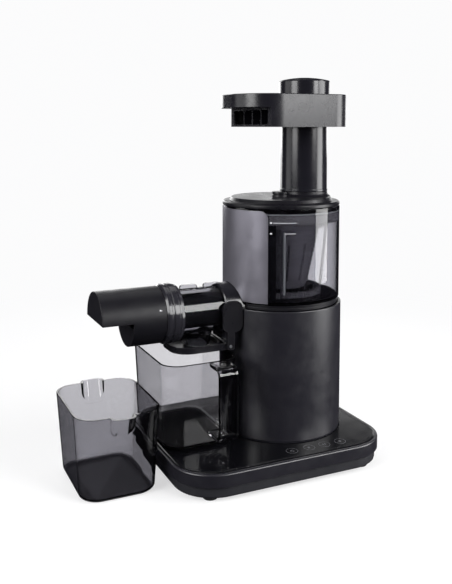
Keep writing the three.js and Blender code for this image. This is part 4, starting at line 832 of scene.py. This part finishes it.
def make_outlet():
    flap = box_of("drip_flap")
    bore = SNOUT_RADIUS - SNOUT_WALL
    inside = at(-WELL + 2 * WALL)
    collar = turned_along_x([(bore, NECK_END), (NECK_RADIUS - 1.0, NECK_END), (NECK_RADIUS, NECK_END + 1.2),
                             (NECK_RADIUS, inside), (bore, inside)], 0, SNOUT_Z, ease=0.3)
    pin = box_of("flap_pin")
    pivot_x, pivot_z = (pin[0] + pin[3]) / 2, (pin[2] + pin[5]) / 2
    web = block(pivot_x - 2, at(-HOUSE - 0.5), -14, 14, pivot_z - 2, SNOUT_Z - bore - GAP)
    half = flap[4]
    bearing = rod_y(4.2, -half + 3 + PLAY, half - 3 - PLAY, pivot_x, pivot_z)
    neck = cut(
        join(collar, web, bearing),
        disc(WELL + GAP, flap[2] - CUT, SNOUT_Z + NECK_RADIUS + CUT, AXIS),
        disc(BOWL + GAP, BOWL_BOTTOM - GAP, SNOUT_Z + NECK_RADIUS + CUT, AXIS),
        rod_x(bore, NECK_END - CUT, inside + CUT, SNOUT_Z),
        rod_y(2 + GAP, -80, 80, pivot_x, pivot_z),
        rod_x(SNOUT_RADIUS + GAP, NECK_END - 10, NECK_END, SNOUT_Z),
    )
    piece(neck, "neck", "bowl", "gloss_black", nodes=["outlet_neck"], bevel=0.3)
    x0, x1 = SNOUT_BOX[0], SNOUT_BOX[3]
    pipe = pipe_x(bore, SNOUT_RADIUS, x0, x1, SNOUT_Z)
    fins = []
    for start in (x1 - 21, RING_BOX[3] + GAP + 5):
        shape = outline(start, start + 20, SNOUT_Z + SNOUT_RADIUS - 3, SNOUT_BOX[5], [0.5, 0.5, 3, 3], 8)
        fins.append(standing(shape, -1.5, 1.5))
    spout = box_of("juice_spout")
    spout_x = (spout[0] + spout[3]) / 2
    tube = cut(join(pipe, *fins), disc(13, SNOUT_Z - NECK_RADIUS, SNOUT_Z, spout_x, 0, MEDIUM),
               rod_x(bore, x0 - CUT, x1 + CUT, SNOUT_Z))
    piece(tube, "snout_pipe", "bowl", "smoke_clear", "tube_clear", nodes=["snout_tube"], bevel=0.3)
    drum = (DRUM_BOX[4] - DRUM_BOX[1]) / 2
    x0, x1 = DRUM_BOX[0], DRUM_BOX[3]
    core = pipe_x(drum - WALL, drum, x0, x1, SNOUT_Z)
    slot = block(RING_BOX[3] + GAP + 4, NECK_END - 4, -5, 5, SNOUT_Z, SNOUT_Z + NECK_RADIUS)
    piece(cut(core, slot), "drum", "bowl", "dark_plastic", nodes=["pulp_drum"], bevel=0.3)
    x0, x1 = RING_BOX[0], RING_BOX[3]
    inner = SNOUT_RADIUS + GAP
    profile = [(inner, x0), (RING - 2.2, x0), (RING, x0 + 2.2), (RING, x0 + 5), (RING - 0.8, x0 + 5.6),
               (RING - 0.8, x0 + 8), (RING, x0 + 8.6), (RING, x1 - 6), (RING - 0.8, x1 - 5.4),
               (RING - 0.8, x1 - 3.4), (RING - 2, x1), (inner, x1)]
    clamp = turned_along_x(profile, 0, SNOUT_Z, ease=0.4)
    piece(clamp, "clamp_ring", "lock_ring", "smoke_clear", "ring_smoke", nodes=["lock_ring"])
    short = HOOD_END + NOZZLE_SHORT
    body = turned_along_x([(0, HOOD_END), (NOZZLE, HOOD_END), (NOZZLE, NOZZLE_START), (0, NOZZLE_START)],
                          0, SNOUT_Z, ease=1.0)
    wide = NOZZLE + CUT
    nozzle = cut(body, rod_x(NOZZLE - WALL, HOOD_END + WALL, NOZZLE_START + CUT, SNOUT_Z),
                 block(HOOD_END - CUT, short, -wide, wide, SNOUT_Z - wide, SNOUT_Z))
    end = common(block(short, short + WALL, -NOZZLE, NOZZLE, SNOUT_Z - NOZZLE, SNOUT_Z - 6),
                 rod_x(NOZZLE - 0.2, HOOD_END, NOZZLE_START, SNOUT_Z))
    piece(join(nozzle, end), "nozzle_shell", "nozzle", "gloss_black", "nozzle_black", nodes=["pulp_nozzle"],
          bevel=0.5, segments=3)
    depth = NOZZLE + 0.03
    turn = math.radians(ARROW_TURN)
    y, z = -depth * math.sin(turn), SNOUT_Z + depth * math.cos(turn)
    tip = NOZZLE_START - 5
    tail, face = tip - 3, y - PRINT
    arrow = new_mesh(
        "arrow",
        [(tail, y, z + 1.5), (tip, y - 0.02, z), (tail, y, z - 1.5),
         (tail, face, z + 1.5), (tip, face, z), (tail, face, z - 1.5)],
        [(0, 1, 2), (3, 5, 4), (0, 3, 4, 1), (1, 4, 5, 2), (2, 5, 3, 0)],
    )
    piece(arrow, "nozzle_mark", "nozzle", "clear_plastic", "print", nodes=[])


def make_spout_and_flap():
    spout = box_of("juice_spout")
    x, half_x, half_y = (spout[0] + spout[3]) / 2, (spout[3] - spout[0]) / 2, spout[4]
    z0, z1, taper, wall = spout[2], SNOUT_Z - SNOUT_RADIUS + 13, 5, 2

    def level(inset):
        rx, ry = half_x - inset, half_y - inset
        return outline(x - rx, x + rx, -ry, ry, min(rx, ry) - 1, 14)

    shell = swept(level, [(taper, z0), (0, z1), (wall, z1), (taper + wall, z0)], looped=True)
    shell = cut(shell, rod_x(SNOUT_RADIUS + GAP, RING_BOX[0], AXIS, SNOUT_Z))
    piece(shell, "spout", "bowl", "clear_plastic", "tube_clear", nodes=["juice_spout"], bevel=0.3)
    cad_copy("drip_flap", "flap", "drip_stop", "gloss_black", bevel=0.6, look="satin_black", angle=30)
    cad_copy("drip_seal", "flap_seal", "drip_stop", "silicone", 0.3)
    cad_copy("flap_pin", "hinge_pin", "bowl", "steel", 0.3)


# ---- lid, feed tube, tray and pusher -------------------------------------------------------------------
LID_BOX = box_of("lid")
TUBE_BOX = box_of("feed_tube")
TRAY_BOX = box_of("hopper_tray")
PUSH_BOX = box_of("pusher")
CHUTE_X = (TUBE_BOX[0] + TUBE_BOX[3]) / 2
CHUTE = (TUBE_BOX[3] - TUBE_BOX[0]) / 2
CHUTE_BORE = 24.0
BOSS_RADIUS = 10.3


def make_lid():
    radius = (LID_BOX[3] - LID_BOX[0]) / 2
    low = BOWL_TOP + GAP
    rim, crown = low + 4.7, radius - 10
    skirt = BOWL_INNER - PLAY
    plate = turned([(0, low), (skirt - WALL, low), (skirt - WALL, low - 5), (skirt, low - 5), (skirt, low),
                    (radius, low), (radius, rim - 1.3), (radius - 1.3, rim), (crown + 2.2, rim + 0.2),
                    (crown, rim + 4), (0, rim + 4)], AXIS, ease=0.9)
    flare = turned([(0, rim), (CHUTE + 3.4, rim), (CHUTE + 3.4, rim + 4), (CHUTE + 1.2, rim + 5.5),
                    (CHUTE, rim + 7.0), (CHUTE, rim + 9.5), (0, rim + 9.5)], CHUTE_X, ease=0.8)
    wide, waist = BOSS_RADIUS, BOSS_RADIUS - 0.8
    boss = turned([(0, rim), (wide, rim), (wide, rim + 5.4), (waist, rim + 5.9), (waist, rim + 6.4),
                   (wide, rim + 6.9), (wide, rim + 9.3), (0, rim + 9.3)], AXIS, facets=MEDIUM, ease=0.5)
    lid = cut(join(plate, flare, boss), disc(CHUTE_BORE, low - 8, rim + 12, CHUTE_X, 0),
              disc(5.3, low - CUT, rim + 7.3, AXIS, 0, SMALL))
    piece(lid, "lid_cap", "lid", "gloss_black", "satin_black", nodes=["lid"], bevel=0.25)


def make_tube_and_pusher():
    z0, z1 = TUBE_BOX[2], TUBE_BOX[5]
    thin = CHUTE - 1.1
    tube = turned([(CHUTE_BORE, z0), (CHUTE, z0), (CHUTE, z0 + 2.2), (CHUTE - 0.5, z0 + 2.6), (thin, z1),
                   (CHUTE_BORE, z1)], CHUTE_X, ease=0.35)
    piece(tube, "chute", "hopper", "gloss_black", nodes=["feed_tube"])
    cap = (PUSH_BOX[3] - PUSH_BOX[0]) / 2
    low, top = PUSH_BOX[2], PUSH_BOX[5]
    body = CHUTE_BORE - 0.6
    edge = TRAY_BOX[5] + 16.7
    seat = TRAY_BOX[5] - TRAY_DEPTH + WALL + GAP
    shares = (0.97, 0.9, 0.8, 0.65, 0.5, 0.3, 0.15)
    dome = [(cap * share, edge + (top - edge) * (1 - share * share)) for share in shares]
    profile = [(body - WALL, low), (body, low), (body, seat), (cap - 1, seat), (cap, seat + 1),
               (cap, edge - 1.2), (cap - 0.4, edge - 0.3), *dome, (0, top), (0, seat), (body - WALL, seat)]
    piece(turned(profile, CHUTE_X, ease=0.3), "plunger", "pusher", "gloss_black", nodes=["pusher"])


TRAY_CORNERS = (25.0, 45.0)  # at its right end and at its left
TRAY_DEPTH = 15.0
TRAY_MOUTH = 42.0  # half the width of the opening under the tray
SKIRT_LEFT = -39.5


def make_tray():
    x0, y0, z_low, x1, y1, rim = TRAY_BOX
    floor = rim - TRAY_DEPTH
    left = at(SKIRT_LEFT)
    half = TRAY_MOUTH

    def shape(inset):
        big, small = TRAY_CORNERS[1] - inset, TRAY_CORNERS[0] - inset
        return outline(x0 + inset, x1 - inset, y0 + inset, y1 - inset, [big, small, small, big], 16)

    dish = swept(shape, [(0.5, floor), (0, floor + 0.6), (0, rim - 0.7), (0.7, rim), (WALL - 0.6, rim),
                         (WALL, rim - 0.6), (WALL, floor + WALL)])
    front, back = y0 - CUT, y1 + CUT
    right = block(left, x1 + CUT, front, back, z_low - CUT, rim)
    skirt = common(prism(shape(0), z_low, floor + 1.5), right)
    inside = block(left + WALL, x1 + CUT, front, back, z_low, rim)
    hollow = common(prism(shape(WALL), z_low + WALL, floor), inside)
    mouth = block(left - CUT, left + WALL + CUT, -half, half, z_low + WALL, floor - WALL)
    ribs = []
    for i in range(3):
        y = ((i + 1) / 4 - 0.5) * 2 * half
        ribs.append(block(left + WALL, left + WALL + 12, y - 1, y + 1, z_low + WALL / 2, floor + GAP))
    tray = cut(join(dish, cut(skirt, hollow, mouth), *ribs),
               disc(CHUTE + GAP, z_low - CUT, floor, CHUTE_X),
               disc(CHUTE_BORE, floor - CUT, floor + WALL + CUT, CHUTE_X))
    piece(tray, "tray", "hopper", "gloss_black", "tray_black", nodes=["hopper_tray"], bevel=0.5, segments=3)


# ---- jug and bin ---------------------------------------------------------------------------------------
VESSEL_WALL = 2.2


def vessel(x0, x1, y0, y1, bottom, top, draft, corner):
    """An open vessel that narrows downwards, with a rounded foot and a beaded rim."""
    wall = VESSEL_WALL

    def level(inset):
        return outline(x0 + inset, x1 - inset, y0 + inset, y1 - inset, corner - inset / 2, 16)

    slope = draft / (top - bottom)

    def side(z):
        return slope * (top - z)

    bend = 6.0
    outer = [(side(bottom) + bend * (1 - math.sin(a)), bottom + bend * (1 - math.cos(a)))
             for a in [math.radians(d) for d in range(0, 91, 15)]]
    rim = [(0, top - 0.5), (0.4, top), (wall - 0.4, top), (wall, top - 0.5)]
    inner_floor = bottom + wall
    inner = [(side(inner_floor) + wall + (bend - wall) * (1 - math.sin(a)),
              inner_floor + (bend - wall) * (1 - math.cos(a)))
             for a in [math.radians(d) for d in range(90, -1, -15)]]
    return swept(level, [*outer, *rim, *inner]), level, side


def make_jug():
    node = box_of("jug")
    strap_front = node[1]
    x0, x1, y1 = node[0], node[3], node[4]
    y0 = strap_front + 27
    bottom, top = node[2], node[5]
    jug, level, side = vessel(x0, x1, y0, y1, bottom, top, draft=4.0, corner=20.0)
    middle, half = at(-97), 10.5
    low = bottom - GAP + 14
    back = y0 + 5

    def strap(inset, deeper):
        """The handle's outline from the side, taken in by an inset and made wider by a depth."""
        shape = outline(strap_front + inset, back + deeper, low + inset, top - inset,
                        [10 - inset, 0.5, 0.5, 10 - inset], 8)
        rings = [[(x, y, z) for y, z in shape] for x in (middle - half - deeper, middle + half + deeper)]
        return skin(rings)

    solid = swept(level, [(side(bottom), bottom), (0, top)])
    loop = cut(strap(0, 0), cut(strap(4.5, CUT), solid))
    room = swept(level, [(side(bottom) + VESSEL_WALL, bottom + CUT), (VESSEL_WALL, top + CUT)])
    loop = cut(loop, room)
    channel = cut(strap(-CUT, -3), strap(1.6, 4))
    trim = block(x0 - 9, x1 + 9, strap_front - 9, y0 - 2.0, bottom, top + 9)
    loop = cut(loop, common(channel, trim))
    made = join(jug, loop)
    # the jug's smoke plastic with painted shade over its lowest millimetres
    LOOKS["jug_smoke_floor_shade"] = paint_floor_shade(clear("jug_smoke_floor_shade", SMOKE), bottom, VESSEL_WALL)
    piece(made, "jug_body", "jug", "smoke_clear", "jug_smoke_floor_shade", nodes=["jug"], bevel=0.35)


BIN_HALF = 57.8  # half its depth, without the lips
LIP = 13.0  # half a pour lip's width


def make_bin():
    x0, y0, bottom, x1, y1, top = box_of("pulp_bin")
    half = BIN_HALF
    shell, level, side = vessel(x0, x1, -half, half, bottom, top, draft=5.0, corner=22.0)
    middle = (x0 + x1) / 2

    def lips(inset, over):
        """Two scoops that start inside the walls and lean out to the rim."""
        made = []
        for way in (-1, 1):
            rings = []
            for z, reach in ((top - 26, half - 5), (top - 12, half + 4.5), (top, y1), (top + over, y1)):
                left, right = middle - LIP + inset, middle + LIP - inset
                shape = outline(left, right, half - 22, reach - inset, [1, 1, 7, 7], 8)
                rings.append([(x, way * y, z) for x, y in shape])
            made.append(skin(rings if over else rings[:-1]))
        return made

    room = swept(level, [(side(bottom) + 6, bottom + 2.3), (side(bottom) + VESSEL_WALL, bottom + 6),
                         (VESSEL_WALL, top + CUT)])
    made = cut(join(shell, *lips(0, 0)), room, *lips(VESSEL_WALL, CUT))
    # the bin's smoke plastic with painted shade over its lowest millimetres
    LOOKS["bin_smoke_floor_shade"] = paint_floor_shade(clear("bin_smoke_floor_shade", DARK_SMOKE), bottom, VESSEL_WALL)
    piece(made, "bin_body", "bin", "smoke_clear", "bin_smoke_floor_shade", nodes=["pulp_bin"], bevel=0.3)


# ---- pieces that keep their CAD shape ------------------------------------------------------------------
def make_rest():
    """Paints the CAD nodes that nothing replaces, and eases their edges."""
    looks = {"power_board": "board", "touch_board": "board", "wiper_frame": "frosted"}
    shown = {n for o in bpy.context.scene.objects for n in o.get("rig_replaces", [])}
    slots = {entry["node"]: entry["material_slot"] for entry in frame["record"]["subparts"]}
    for name, node in sorted(frame["nodes"].items()):
        if name in shown:
            continue
        look = LOOKS[looks.get(name, slots[name])]
        node.data.materials.clear()
        node.data.materials.append(look)
        weld = node.modifiers.new("weld", "WELD")
        weld.merge_threshold = 5e-6
        bevel = node.modifiers.new("bevel", "BEVEL")
        bevel.width = 0.15 * MM
        bevel.segments = 1
        bevel.limit_method = "ANGLE"
        bevel.angle_limit = math.radians(40)


deck_top = make_base()
make_touch_marks(deck_top)
make_housing()
make_bowl()
make_window_marks()
make_strainer()
make_outlet()
make_spout_and_flap()
make_lid()
make_tube_and_pusher()
make_tray()
make_jug()
make_bin()
make_rest()
